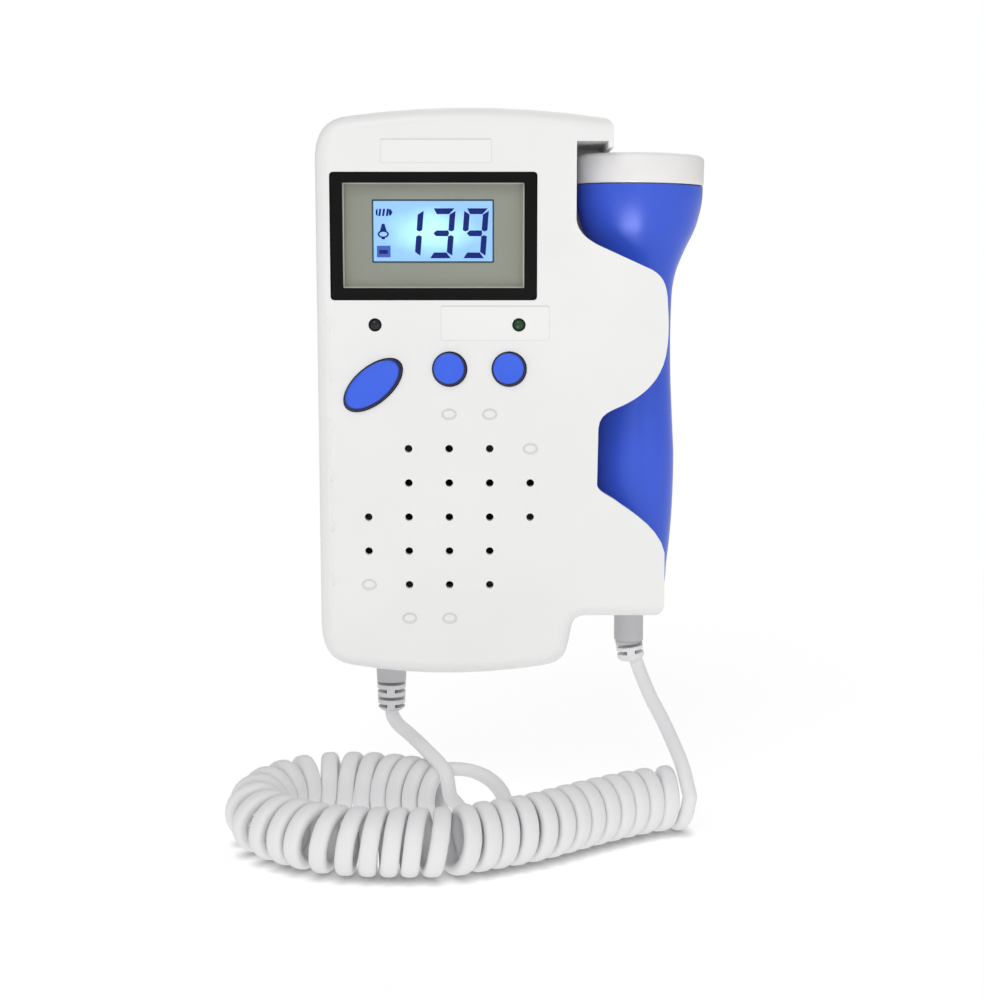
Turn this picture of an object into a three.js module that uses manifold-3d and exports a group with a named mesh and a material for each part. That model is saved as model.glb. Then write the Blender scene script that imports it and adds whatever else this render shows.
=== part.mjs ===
// Handheld fetal doppler monitor: a white clamshell unit with a display, three buttons and a
// loudspeaker, and an ultrasound probe that sits in a cradle on its side and hangs on a curly cord.
// Millimetres, +Z up, -Y towards the user. The origin is the centre of the unit's flat back face.
import * as THREE from 'three';
import { mergeVertices } from 'three/addons/utils/BufferGeometryUtils.js';
import Module from 'manifold-3d';

const wasm = await Module();
wasm.setup();

// Driving dimensions of the unit
const UNIT_HALF_HEIGHT = 68.2;
const BODY_HALF_WIDTH = 30.9;
const CRADLE_WIDTH = 22;
const ROOF_REACH = 8.7;
const SHELL_WALL = 1.8;
const FACE_PLATE = 2;
const FRONT_EDGE_ROUND = 3.6;
const BACK_EDGE_ROUND = 2.8;
const SEAM_GAP = 0.3;
const FIT_GAP = 0.3;
const OVERRUN = 6;
const CURVE_POINTS = 7;
const FINE_SEGMENTS = 32;
const BUTTON_SEGMENTS = 28;
const RELIEF_SEGMENTS = 20;
const SMALL_SEGMENTS = 16;
const DIMPLE_POINTS = 14;
const HOLE_SEGMENTS = 12;

// The head of the probe lies between the two shells, so it sets how deep the unit is
const HEAD_RADIUS = 15.5;
const HEAD_CLEARANCE = 0.2;
const UNIT_DEPTH = 2 * (HEAD_RADIUS + HEAD_CLEARANCE + SHELL_WALL);

// Depth stations, front to back
const FRONT_Y = -UNIT_DEPTH;
const PLATE_BACK_Y = FRONT_Y + FACE_PLATE;
const SEAM_Y = FRONT_Y / 2;
const FRONT_SHELL_BACK_Y = SEAM_Y - SEAM_GAP / 2;
const REAR_SHELL_FRONT_Y = SEAM_Y + SEAM_GAP / 2;
const BACK_WALL_Y = -SHELL_WALL;

// Cradle on the right side
const CRADLE_X = BODY_HALF_WIDTH;
const FLAP_RIGHT_X = CRADLE_X + CRADLE_WIDTH;
const ROOF_RIGHT_X = CRADLE_X + ROOF_REACH;
const ROOF_UNDER_SHARE = 0.8827;
const ROOF_LIP_SHARE = 0.8607;
const CRADLE_BOTTOM_SHARE = -0.78886;
const ROOF_UNDER_Z = ROOF_UNDER_SHARE * UNIT_HALF_HEIGHT;
const ROOF_LIP_Z = ROOF_LIP_SHARE * UNIT_HALF_HEIGHT;
const ROOF_LIP_WALL = 1.3;
const CRADLE_BOTTOM_Z = CRADLE_BOTTOM_SHARE * UNIT_HALF_HEIGHT;
const CRADLE_CORNER = 3.6;
const CAVITY_RIGHT_X = CRADLE_X - SHELL_WALL;

// Ultrasound probe, measured along its own axis from the level of the origin
const PROBE_TILT = THREE.MathUtils.degToRad(0.8);
const CAP_LIP = 0.15;
const CAP_RADIUS = HEAD_RADIUS + CAP_LIP;
const NECK_RADIUS = 8.6;
const GRIP_RADIUS = 10.3;
const TAIL_RADIUS = 9;
const CAP_HEIGHT = 7.3;
const CAP_EDGE = 0.9;
const CAP_DOME = 0.35;
const CAP_TO_ROOF = 0.55;
const SIDE_CLEARANCE = 0.55;
const END_CLEARANCE = 0.8;
const SEAM_Z = ROOF_LIP_Z - CAP_TO_ROOF - CAP_DOME - CAP_HEIGHT;
const PROBE_END_Z = CRADLE_BOTTOM_Z + SHELL_WALL + END_CLEARANCE;
const PROBE_AXIS_X = CRADLE_X + CAP_RADIUS + SIDE_CLEARANCE - SEAM_Z * Math.tan(PROBE_TILT);
const FLARE_HEIGHT = 27;
const GRIP_SHARE = -0.29326;
const GRIP_Z = GRIP_SHARE * UNIT_HALF_HEIGHT;
const GRIP_LENGTH = 26;
const PROBE_WALL = 1.6;
const PROBE_SEGMENTS = 40;
const CRADLE_CLEARANCE = 0.5;
const SADDLE_THICKNESS = 2;
const SADDLE_SHARES = [0.2053, -0.6452];
const SADDLE_HEIGHTS = SADDLE_SHARES.map((share) => share * UNIT_HALF_HEIGHT);
const SADDLE_REACH = 17;

// Curly cord
const CORD_DIAMETER = 3.5;
const COIL_OUTER = 16;
const COIL_RADIUS = (COIL_OUTER - CORD_DIAMETER) / 2;
const FLOOR_Z = -105;
const COIL_Z = FLOOR_Z + COIL_OUTER / 2;
const CURL_PITCH = 4.6;
const BEND_PITCH = 4.15;
const CURL_STEPS = 8;
const CURL_SIDES = 5;
const TAIL_SIDES = 8;
const TAIL_STEP = 2.4 * CORD_DIAMETER;
const LOOSE_CURL_REACH = 11.5;
const LOOSE_CURL_RUN = 3.5;

// Colours of the real pieces
const WHITE_ABS = { color: 0xececea, roughness: 0.35 };
const BLUE_ABS = { color: 0x4868d8, roughness: 0.35 };
const CAP_ABS = { color: 0xf0ebec, roughness: 0.4 };
const BLACK_ABS = { color: 0x1c1c1c, roughness: 0.3 };
const CLEAR = { color: 0xf4f8fa, roughness: 0.05, transparent: true, opacity: 0.3 };
const LCD_GLASS = { color: 0x939589, roughness: 0.2 };
const BACKLIGHT = { color: 0xaae6f9, roughness: 0.5 };
const BOARD_GREEN = { color: 0x1f6b3c, roughness: 0.5 };
const STEEL = { color: 0xb8bbbf, roughness: 0.3, metalness: 1 };
const SWITCH_BLACK = { color: 0x222222, roughness: 0.6 };
const PAPER_BLACK = { color: 0x2a2a2a, roughness: 0.9 };
const CELL_WRAP = { color: 0x6c7076, roughness: 0.4, metalness: 0.4 };
const CORD_PVC = { color: 0xe0e0de, roughness: 0.45 };
const RELIEF_PVC = { color: 0xcfd0d0, roughness: 0.5 };
const LED_DARK = { color: 0x4c4a54, roughness: 0.2 };
const LED_GREEN = { color: 0x68806f, roughness: 0.2 };
const CERAMIC = { color: 0xe7e0cf, roughness: 0.5 };
const FOAM = { color: 0x44474c, roughness: 0.95 };

const model = new THREE.Group();

// Turns a closed three.js geometry into a solid that can be joined and cut, faces outward.
function solid(geometry) {
  const plain = geometry.clone();
  plain.deleteAttribute('normal');
  plain.deleteAttribute('uv');
  const merged = mergeVertices(plain, 1e-4);
  const corners = merged.attributes.position;
  const a = new THREE.Vector3();
  const b = new THREE.Vector3();
  const c = new THREE.Vector3();
  const kept = [];
  let volume = 0;
  for (let i = 0; i < merged.index.count; i += 3) {
    const triangle = [0, 1, 2].map((k) => merged.index.getX(i + k));
    if (new Set(triangle).size === 3) {
      kept.push(...triangle);
      [a, b, c].forEach((corner, k) => corner.fromBufferAttribute(corners, triangle[k]));
      volume += a.dot(b.cross(c));
    }
  }
  if (volume < 0) kept.reverse();
  return new wasm.Manifold(new wasm.Mesh({
    numProp: 3,
    vertProperties: new Float32Array(corners.array),
    triVerts: new Uint32Array(kept),
  }));
}

// Turns a solid back into a geometry with flat faces.
function geometryOf(body) {
  const mesh = body.getMesh();
  const geometry = new THREE.BufferGeometry();
  geometry.setAttribute('position', new THREE.BufferAttribute(new Float32Array(mesh.vertProperties), 3));
  geometry.setIndex(new THREE.BufferAttribute(new Uint32Array(mesh.triVerts), 1));
  geometry.computeVertexNormals();
  return geometry;
}

function add(name, shape, finish, parent = model) {
  const geometry = shape.isBufferGeometry ? shape : geometryOf(shape);
  const mesh = new THREE.Mesh(geometry, new THREE.MeshStandardMaterial(finish));
  mesh.name = name;
  parent.add(mesh);
  return mesh;
}

function box(x0, x1, y0, y1, z0, z1) {
  const geometry = new THREE.BoxGeometry(x1 - x0, y1 - y0, z1 - z0);
  geometry.translate((x0 + x1) / 2, (y0 + y1) / 2, (z0 + z1) / 2);
  return solid(geometry);
}

// A round bar along Y, centred on x and z.
function barY(x, z, radius, y0, y1, segments = SMALL_SEGMENTS) {
  const geometry = new THREE.CylinderGeometry(radius, radius, y1 - y0, segments);
  geometry.translate(x, (y0 + y1) / 2, z);
  return solid(geometry);
}

// A flat outline in X and Z between two depths, with a rounded front or back edge.
function plateY(shape, y0, y1, { front = 0, back = 0, segments = 3 } = {}) {
  const round = Math.max(front, back);
  const depth = y1 - y0 - round + OVERRUN;
  const geometry = new THREE.ExtrudeGeometry(shape, {
    depth,
    steps: 1,
    curveSegments: CURVE_POINTS,
    bevelEnabled: round > 0,
    bevelThickness: round,
    bevelSize: round,
    bevelOffset: -round,
    bevelSegments: segments,
  });
  geometry.rotateX(Math.PI / 2);
  geometry.translate(0, back > 0 ? y1 - round : y0 + depth + round, 0);
  return trimY(solid(geometry), y0, y1);
}

function trimY(body, y0, y1) {
  const reach = 4 * UNIT_HALF_HEIGHT;
  return body.intersect(box(-reach, reach, y0, y1, -reach, reach));
}

// A solid of revolution about +Z from radius and height pairs that start and end on the axis.
function turned(profile, segments) {
  const geometry = new THREE.LatheGeometry(profile.map(([r, z]) => new THREE.Vector2(r, z)), segments);
  geometry.rotateX(Math.PI / 2);
  return solid(geometry);
}

// The same about +Y, with heights read as depths.
function turnedY(profile, x, z, segments) {
  const geometry = new THREE.LatheGeometry(profile.map(([r, y]) => new THREE.Vector2(r, y)), segments);
  geometry.translate(x, 0, z);
  return solid(geometry);
}

function joined(bodies) {
  return bodies.reduce((sum, body) => sum.add(body));
}

function cut(body, tools) {
  return tools.reduce((rest, tool) => rest.subtract(tool), body);
}

// Adds a step to an outline: two numbers are a line, four a quadratic curve, six a cubic one.
function trace(shape, steps) {
  for (const step of steps) {
    if (step.length === 2) shape.lineTo(...step);
    if (step.length === 4) shape.quadraticCurveTo(...step);
    if (step.length === 6) shape.bezierCurveTo(...step);
  }
}

// Scales rows of share pairs to lengths in X and Z.
function placed(rows, originX, spanX, spanZ) {
  return rows.map((row) => row.map((share, i) => (i % 2 ? share * spanZ : originX + share * spanX)));
}

// Moves each point of a closed outline inwards by a distance.
function insetOutline(points, distance) {
  const outline = new THREE.Shape();
  const count = points.length;
  const clockwise = THREE.ShapeUtils.isClockWise(points);
  const moved = points.map((point, i) => {
    const before = points[(i + count - 1) % count];
    const after = points[(i + 1) % count];
    const inward = new THREE.Vector2().subVectors(point, before).normalize();
    const outward = new THREE.Vector2().subVectors(after, point).normalize();
    const normal = new THREE.Vector2().addVectors(inward, outward).normalize();
    const side = clockwise ? 1 : -1;
    const across = new THREE.Vector2(normal.y * side, -normal.x * side);
    const half = Math.max(inward.dot(normal), Math.SQRT1_2);
    return point.clone().addScaledVector(across, distance / half);
  });
  outline.setFromPoints(moved);
  return outline;
}

// Outline of the body: shares of the half width and the half height.
const TOP_LEFT_SHARES = [[-0.99, 0.928, -0.89, 0.965, -0.731, 0.971]];
const TOP_CROWN_SHARES = [0.227, 1.0285];
const TOP_RIGHT_Z_SHARE = 0.965;
const LOWER_RIGHT_SHARES = [
  [1.02, -0.792, 0.992, -0.806, 0.982, -0.843],
  [0.966, -0.88],
  [0.945, -0.947, 0.874, -0.962, 0.761, -0.972],
];
const BOTTOM_SHARES = [[-0.03, -1.0285, -0.761, -0.97]];
const LOWER_LEFT_SHARES = [[-0.922, -0.956, -0.99, -0.916, -1, -0.821]];
const LEFT_TOP_SHARE = 0.836;
const SKIRT_X_SHARE = 1.084;

// Edge of the two flaps that reach over the probe: shares of the cradle's width and the half height.
const FLAP_SHARES = [
  [0.004, 0.583, 0.088, 0.553, 0.2359, 0.5291],
  [0.8143, 0.4447],
  [0.936, 0.4235, 0.988, 0.394, 0.994, 0.3226],
  [1.0136, 0.249, 1.018, 0.1466, 0.918, 0.088],
  [0.841, 0.038, 0.7045, 0.003, 0.5727, -0.019],
  [0.4545, -0.0425, 0.2636, -0.047, 0.2545, -0.1085],
  [0.2455, -0.308],
  [0.2545, -0.3314, 0.341, -0.3416, 0.441, -0.362],
  [0.591, -0.399, 0.9455, -0.462, 0.995, -0.5513],
];
const FLAP_START_SHARE = 0.62;

const inBody = (rows) => placed(rows, 0, BODY_HALF_WIDTH, UNIT_HALF_HEIGHT);
const inCradle = (rows) => placed(rows, CRADLE_X, CRADLE_WIDTH, UNIT_HALF_HEIGHT);

// Left side, crown and foot, shared by every outline of the unit. The right side is given.
function unitOutline(topRight, rightSide) {
  const shape = new THREE.Shape();
  const crown = inBody([TOP_CROWN_SHARES])[0];
  shape.moveTo(-BODY_HALF_WIDTH, LEFT_TOP_SHARE * UNIT_HALF_HEIGHT);
  trace(shape, inBody(TOP_LEFT_SHARES));
  trace(shape, [[...crown, ...topRight]]);
  trace(shape, rightSide);
  trace(shape, inBody(LOWER_RIGHT_SHARES));
  trace(shape, inBody(BOTTOM_SHARES));
  trace(shape, inBody(LOWER_LEFT_SHARES));
  shape.closePath();
  return shape;
}

const skirtStart = [SKIRT_X_SHARE * BODY_HALF_WIDTH, CRADLE_BOTTOM_Z];

// Right end of the roof over the probe's cap.
const ROOF_CORNER = 2.6;

const ROOF_TOP_Z = TOP_RIGHT_Z_SHARE * UNIT_HALF_HEIGHT;
const roofCorner = [ROOF_RIGHT_X - ROOF_CORNER, ROOF_TOP_Z];

function roofEnd() {
  return [
    [ROOF_RIGHT_X - ROOF_CORNER / 6, ROOF_TOP_Z - ROOF_CORNER / 6, ROOF_RIGHT_X, ROOF_TOP_Z - ROOF_CORNER],
    [ROOF_RIGHT_X, ROOF_LIP_Z],
  ];
}

// Envelope that carries the rounded outer edges: its right side is a straight wall.
function envelopeOutline(rightX) {
  return unitOutline(roofCorner, [[rightX, ROOF_TOP_Z], [rightX, CRADLE_BOTTOM_Z], skirtStart]);
}

const FRONT_ENVELOPE_X = FLAP_RIGHT_X + OVERRUN + FRONT_EDGE_ROUND;

function cradleCorner() {
  return [
    [FLAP_RIGHT_X, CRADLE_BOTTOM_Z + CRADLE_CORNER],
    [FLAP_RIGHT_X, CRADLE_BOTTOM_Z, FLAP_RIGHT_X - CRADLE_CORNER, CRADLE_BOTTOM_Z],
    skirtStart,
  ];
}

// Face of the front shell with its roof lip, flaps and finger notch.
function faceOutline() {
  return unitOutline(roofCorner, [
    ...roofEnd(),
    [ROOF_RIGHT_X - ROOF_LIP_WALL, ROOF_LIP_Z],
    [ROOF_RIGHT_X - ROOF_LIP_WALL, ROOF_UNDER_Z],
    [CRADLE_X, ROOF_UNDER_Z],
    [CRADLE_X, FLAP_START_SHARE * UNIT_HALF_HEIGHT],
    ...inCradle(FLAP_SHARES),
    ...cradleCorner(),
  ]);
}

// Back of the unit: the wall behind the probe slopes down from the roof.
const BACK_SLOPE_SHARES = [[0.62, 0.83, 0.995, 0.79, 1, 0.62]];

function backOutline() {
  return unitOutline(roofCorner, [
    ...roofEnd(),
    ...inCradle(BACK_SLOPE_SHARES),
    ...cradleCorner(),
  ]);
}

// Rounded rectangle in X and Z.
function roundedRectangle(x0, x1, z0, z1, radius) {
  const shape = new THREE.Shape();
  shape.moveTo(x0 + radius, z0);
  trace(shape, [
    [x1 - radius, z0],
    [x1, z0, x1, z0 + radius],
    [x1, z1 - radius],
    [x1, z1, x1 - radius, z1],
    [x0 + radius, z1],
    [x0, z1, x0, z1 - radius],
    [x0, z0 + radius],
    [x0, z0, x0 + radius, z0],
  ]);
  return shape;
}

// Display opening and the pieces in it
const WINDOW_SHARES = [[-0.8738, 0.3431], [0.6926, 0.7742]];
const [[WINDOW_LEFT, WINDOW_FOOT], [WINDOW_RIGHT, WINDOW_HEAD]] = inBody(WINDOW_SHARES);
const WINDOW = { x0: WINDOW_LEFT, x1: WINDOW_RIGHT, z0: WINDOW_FOOT, z1: WINDOW_HEAD, corner: 1 };
const BEZEL_BORDER = 2.9;
const BEZEL_FLANGE = 0.9;
const FLANGE_THICKNESS = 1.2;
const LENS_SEAT = 0.8;
const LENS_RECESS = 0.9;
const LENS_THICKNESS = 1;
const PANEL_THICKNESS = 2.4;
const BACKLIGHT_THICKNESS = 2;

// Buttons, LEDs and speaker grille on the face
const ROUND_BUTTON_RADIUS = 3.95;
const ROUND_BUTTON_SHARES = [[0.0291, 0.0997], [0.4887, 0.0997]];
const [VOLUME_DOWN_PLACE, VOLUME_UP_PLACE] = inBody(ROUND_BUTTON_SHARES);
const ROUND_BUTTON_PLACES = { volume_down: VOLUME_DOWN_PLACE, volume_up: VOLUME_UP_PLACE };
const POWER_BUTTON_SHARES = [[-0.5631, 0.044]];
const [POWER_BUTTON_PLACE] = inBody(POWER_BUTTON_SHARES);
const POWER_BUTTON_HALF_LENGTH = 8.3;
const POWER_BUTTON_HALF_WIDTH = 4.2;
const POWER_BUTTON_TURN = THREE.MathUtils.degToRad(40);
const BUTTON_TRAVEL = 1;
const BUTTON_PROUD = 1.1;
const BUTTON_FLANGE = 1;
const BUTTON_STEM_RADIUS = 1.5;
const LED_RADIUS = 1.45;
const LED_SHARES = [[-0.5437, 0.2537], [0.5631, 0.2537]];
const [POWER_LED_PLACE, SIGNAL_LED_PLACE] = inBody(LED_SHARES);
const LED_PLACES = { power_led: POWER_LED_PLACE, signal_led: SIGNAL_LED_PLACE };
const LED_SPACER_RADIUS = 1.1;
const LED_BODY_LENGTH = 5.2;
const GRILLE_SHARES = [[0.0227, -0.4238]];
const [GRILLE_CENTRE] = inBody(GRILLE_SHARES);
const GRILLE_PITCH_X = 9.75;
const GRILLE_PITCH_Z = 8.3;
const GRILLE_HOLE_RADIUS = 0.95;
const GRILLE_ROWS = { 2: [-1, 0, 1], 1: [-1, 0, 1, 2], 0: [-2, -1, 0, 1, 2], '-1': [-2, -1, 0, 1], '-2': [-1, 0, 1] };
const DIMPLE_PLACES = [[0, 3], [1, 3], [2, 2], [-2, -2], [-1, -3], [0, -3]];
const DIMPLE_HALF_WIDTH = 1.9;
const DIMPLE_HALF_HEIGHT = 1.45;
const DIMPLE_DEPTH = 0.35;
const GRIP_MARK_SHARES = [
  [-0.932, 0.254], [-0.932, 0.076], [-0.932, -0.1], [-0.932, -0.277], [-0.932, -0.456], [-0.932, -0.65],
];
const GRIP_MARK_PLACES = inBody(GRIP_MARK_SHARES);
const GRIP_MARK_HALF_WIDTH = 2.3;
const GRIP_MARK_HALF_HEIGHT = 1.7;
const GRIP_MARK_DEPTH = 0.3;

function grillePlace(column, row) {
  return [GRILLE_CENTRE[0] + column * GRILLE_PITCH_X, GRILLE_CENTRE[1] + row * GRILLE_PITCH_Z];
}

// The ellipse of the power button, grown by a margin.
function powerButtonOutline(margin) {
  const shape = new THREE.Shape();
  const [x, z] = POWER_BUTTON_PLACE;
  const length = POWER_BUTTON_HALF_LENGTH + margin;
  const width = POWER_BUTTON_HALF_WIDTH + margin;
  shape.absellipse(x, z, length, width, 0, 2 * Math.PI, false, POWER_BUTTON_TURN);
  const outline = new THREE.Shape();
  outline.setFromPoints(shape.getPoints(BUTTON_SEGMENTS).slice(0, -1));
  return outline;
}

// A shallow crescent that is left where a disc leaves a smaller one beside it.
function gripMark([x, z]) {
  const full = discOutline([x, z], GRIP_MARK_HALF_WIDTH, GRIP_MARK_HALF_HEIGHT);
  const rest = discOutline([x - GRIP_MARK_HALF_WIDTH / 2, z - GRIP_MARK_HALF_HEIGHT / 2],
    GRIP_MARK_HALF_WIDTH, GRIP_MARK_HALF_HEIGHT);
  const depths = [FRONT_Y - OVERRUN, FRONT_Y + GRIP_MARK_DEPTH];
  return plateY(full, ...depths).subtract(plateY(rest, ...depths));
}

function discOutline([x, z], halfWidth, halfHeight, points = DIMPLE_POINTS) {
  const outline = new THREE.Shape();
  const rim = [];
  for (let i = 0; i < points; i += 1) {
    const angle = (2 * Math.PI * i) / points;
    rim.push(new THREE.Vector2(x + halfWidth * Math.cos(angle), z + halfHeight * Math.sin(angle)));
  }
  outline.setFromPoints(rim);
  return outline;
}

// Bosses: the case screws come from the back, the board screws hold the board to the front shell
const CASE_BOSS_RADIUS = 3;
const CASE_SCREW_RADIUS = 1.1;
const SCREW_HEAD_RADIUS = 2.2;
const SCREW_HEAD_HEIGHT = 1.6;
const SCREW_DEPTH = 9;
const CASE_SCREW_SHARES = [[-0.7961, 0.8827], [0.8155, 0.8827], [-0.7961, -0.8827], [0.7767, -0.8739]];
const CASE_SCREW_PLACES = inBody(CASE_SCREW_SHARES);
const COUNTERBORE_SHARE = 0.2857;
const COUNTERBORE_FLOOR_Y = COUNTERBORE_SHARE * FRONT_Y;
const BOARD_BOSS_RADIUS = 2.2;
const BOARD_SCREW_RADIUS = 0.9;
const BOARD_SCREW_HEAD_RADIUS = 1.8;
const BOARD_SCREW_HEAD_HEIGHT = 1.1;
const BOARD_SCREW_DEPTH = 5;
const BOARD_SCREW_SHARES = [[-0.8155, 0.2713], [0.8155, 0.7947], [-0.8155, -0.4032], [0.8155, -0.4032]];
const BOARD_SCREW_PLACES = inBody(BOARD_SCREW_SHARES);

// Main board
const BOARD_SHARES = [[-0.9061, -0.4545], [0.9061, 0.827]];
const [[BOARD_LEFT, BOARD_FOOT], [BOARD_RIGHT, BOARD_HEAD]] = inBody(BOARD_SHARES);
const BOARD = { x0: BOARD_LEFT, x1: BOARD_RIGHT, z0: BOARD_FOOT, z1: BOARD_HEAD, corner: 1.5 };
const BOARD_DEPTH_SHARE = 0.60857;
const BOARD_FRONT_Y = BOARD_DEPTH_SHARE * FRONT_Y;
const BOARD_THICKNESS = 1.6;
const BOARD_BACK_Y = BOARD_FRONT_Y + BOARD_THICKNESS;

// Battery bay in the rear shell: the cells fill the room between the board and the cover
const BAY_WALL = 1.4;
const BAY_TO_BOARD = 1.6;
const CELL_ROOM = -BOARD_BACK_Y - BAY_TO_BOARD - BAY_WALL - SHELL_WALL - 2 * FIT_GAP;
const CELL_RADIUS = CELL_ROOM / 2;
const CELL_LENGTH = 49.2;
const CELL_TIP_RADIUS = 2.7;
const CELL_TIP_LENGTH = 1.2;
const CELL_SPACING = 0.7;
const CONTACT_ROOM = 3;
const CONTACT_THICKNESS = 0.5;
const COVER_LAP = 0.65;
const COVER_HEAD = 1.5;
const BAY_FOOT_HEIGHT = 6.8;
const CELL_Y = BACK_WALL_Y - FIT_GAP - CELL_RADIUS;
const BAY_FLOOR_Y = CELL_Y - CELL_RADIUS - FIT_GAP;
const BAY_HALF_WIDTH = 2 * CELL_RADIUS + CELL_SPACING / 2 + FIT_GAP;
const COVER_HALF_WIDTH = BAY_HALF_WIDTH + COVER_LAP;
const BAY_BOTTOM_Z = BAY_FOOT_HEIGHT - UNIT_HALF_HEIGHT;
const BAY_TOP_Z = BAY_BOTTOM_Z + CELL_LENGTH + CELL_TIP_LENGTH + CONTACT_ROOM;
const COVER_TOP_Z = BAY_TOP_Z + COVER_HEAD;

// Strain reliefs
const RELIEF_PLACE_SHARES = [[-0.4741, -0.98387]];
const [[RELIEF_X, FOOT_Z]] = inBody(RELIEF_PLACE_SHARES);
const RELIEF_TOP_RADIUS = 4;
const RELIEF_END_RADIUS = 3.4;
const RELIEF_FLANGE_RADIUS = 5.4;
const RELIEF_FLANGE = 1.6;
const RELIEF_LENGTH = 14.7;
const RELIEF_END_Z = FOOT_Z - RELIEF_LENGTH;
const RELIEF_SLOT = 0.9;
const RELIEF_WEB = 2;
const RELIEF_SLOT_PITCH = 1.97;
const RELIEF_PLAIN_LENGTH = 7.5;
const RELIEF_FIRST_SLOT_Z = FOOT_Z - RELIEF_PLAIN_LENGTH;
const COLLAR_RADIUS = 3.7;
const COLLAR_REACH = 10;
const COLLAR_END_Z = CRADLE_BOTTOM_Z - COLLAR_REACH;
const PROBE_RELIEF_END = 5.2;
const PROBE_RELIEF_RADIUS = 3.4;
const PROBE_RELIEF_SLOT_SHARES = [-0.2308, -0.5769];
const PROBE_RELIEF_SLOTS = PROBE_RELIEF_SLOT_SHARES.map((share) => share * PROBE_RELIEF_END);
const PROBE_RELIEF_LEAN = THREE.MathUtils.degToRad(-9);

// Probe profile between the seam under the cap and the probe's end: heights and radii.
const FLARE_SHARES = [[0, 1], [0.2, 0.955], [0.4, 0.73], [0.58, 0.42], [0.76, 0.15], [1, 0]];
const TAIL_SHARES = [[0.45, 0.3], [0.7, 0.8], [0.96, 1]];
const END_ROUND = 3;

function probeProfile(inset, endInset) {
  const rows = FLARE_SHARES.map(([drop, flare]) => [
    NECK_RADIUS + flare * (HEAD_RADIUS - NECK_RADIUS) - inset,
    SEAM_Z - drop * FLARE_HEIGHT,
  ]);
  const neckZ = SEAM_Z - FLARE_HEIGHT;
  const gripTop = GRIP_Z + GRIP_LENGTH / 2;
  const swell = GRIP_RADIUS - NECK_RADIUS;
  rows.push([NECK_RADIUS + 0.08 * swell - inset, neckZ + (gripTop - neckZ) / 3]);
  rows.push([NECK_RADIUS + 0.35 * swell - inset, neckZ + (2 * (gripTop - neckZ)) / 3]);
  rows.push([NECK_RADIUS + 0.8 * swell - inset, gripTop]);
  rows.push([GRIP_RADIUS - inset, GRIP_Z + GRIP_LENGTH / 6]);
  rows.push([GRIP_RADIUS - inset, GRIP_Z - GRIP_LENGTH / 4]);
  const fall = GRIP_RADIUS - TAIL_RADIUS;
  const tailTop = GRIP_Z - GRIP_LENGTH / 4;
  const tailBottom = PROBE_END_Z + END_ROUND;
  for (const [drop, share] of TAIL_SHARES) {
    rows.push([GRIP_RADIUS - share * fall - inset, tailTop - drop * (tailTop - tailBottom)]);
  }
  rows.push([TAIL_RADIUS - END_ROUND * 0.35 - inset, PROBE_END_Z + END_ROUND * 0.3 + endInset]);
  rows.push([TAIL_RADIUS - END_ROUND - inset, PROBE_END_Z + endInset]);
  rows.push([0, PROBE_END_Z + endInset]);
  rows.unshift([0, SEAM_Z]);
  return rows.reverse().map(([r, z]) => [Math.max(r, 0), z]);
}

// The probe stands in its own group, tilted as it leans in the cradle.
const probe = new THREE.Group();
probe.position.set(PROBE_AXIS_X, SEAM_Y, 0);
probe.rotation.y = PROBE_TILT;
model.add(probe);

// Space that the probe needs at a height when it slides out sideways.
function probeSlot(z, radius, height) {
  const x = PROBE_AXIS_X + z * Math.tan(PROBE_TILT);
  const upright = new THREE.CylinderGeometry(radius, radius, height, PROBE_SEGMENTS);
  upright.rotateX(Math.PI / 2);
  upright.translate(x, SEAM_Y, z);
  const far = FLAP_RIGHT_X + OVERRUN;
  return solid(upright).add(box(x, far, SEAM_Y - radius, SEAM_Y + radius, z - height / 2, z + height / 2));
}

// Radius of the probe's outside at a height, read on its profile.
function probeRadiusAt(z) {
  const rows = probeProfile(0, 0).filter(([r]) => r > 0);
  for (let i = 1; i < rows.length; i += 1) {
    const [r0, z0] = rows[i - 1];
    const [r1, z1] = rows[i];
    if (z >= z0 && z <= z1) return r0 + ((r1 - r0) * (z - z0)) / (z1 - z0);
  }
  return HEAD_RADIUS;
}

// Room for the probe inside both shells: behind the flaps, under the roof, in front of the back wall.
function cradleRoom() {
  const far = FLAP_RIGHT_X + 2 * OVERRUN;
  const floor = CRADLE_BOTTOM_Z + SHELL_WALL;
  const underRoof = ROOF_RIGHT_X - ROOF_LIP_WALL;
  return box(CRADLE_X, underRoof, PLATE_BACK_Y, BACK_WALL_Y, floor, ROOF_UNDER_Z)
    .add(box(CRADLE_X, far, PLATE_BACK_Y, BACK_WALL_Y, floor, ROOF_LIP_Z));
}

// Slot in the cradle's floor for the probe's strain relief, open to the right.
function reliefSlot() {
  const radius = COLLAR_RADIUS + CRADLE_CLEARANCE;
  return probeSlot(CRADLE_BOTTOM_Z + SHELL_WALL / 2, radius, 2 * SHELL_WALL);
}

function saddles(y0, y1) {
  return joined(SADDLE_HEIGHTS.map((z) => {
    const half = SADDLE_THICKNESS / 2;
    const rib = box(CRADLE_X - FIT_GAP, CRADLE_X + SADDLE_REACH, y0, y1, z - half, z + half);
    return rib.subtract(probeSlot(z, probeRadiusAt(z) + CRADLE_CLEARANCE, 2 * SADDLE_THICKNESS));
  }));
}

// Everything that the two shells hollow out of the body.
function bodyRoom(y0, y1) {
  const points = envelopeOutline(FLAP_RIGHT_X).getPoints(CURVE_POINTS);
  const room = plateY(insetOutline(dropRepeats(points), SHELL_WALL), y0, y1);
  const reach = 2 * UNIT_HALF_HEIGHT;
  return room.intersect(box(-reach, CAVITY_RIGHT_X, y0, y1, -reach, reach));
}

function dropRepeats(points) {
  return points.filter((point, i) => point.distanceTo(points[(i + 1) % points.length]) > 1e-6);
}

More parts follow.
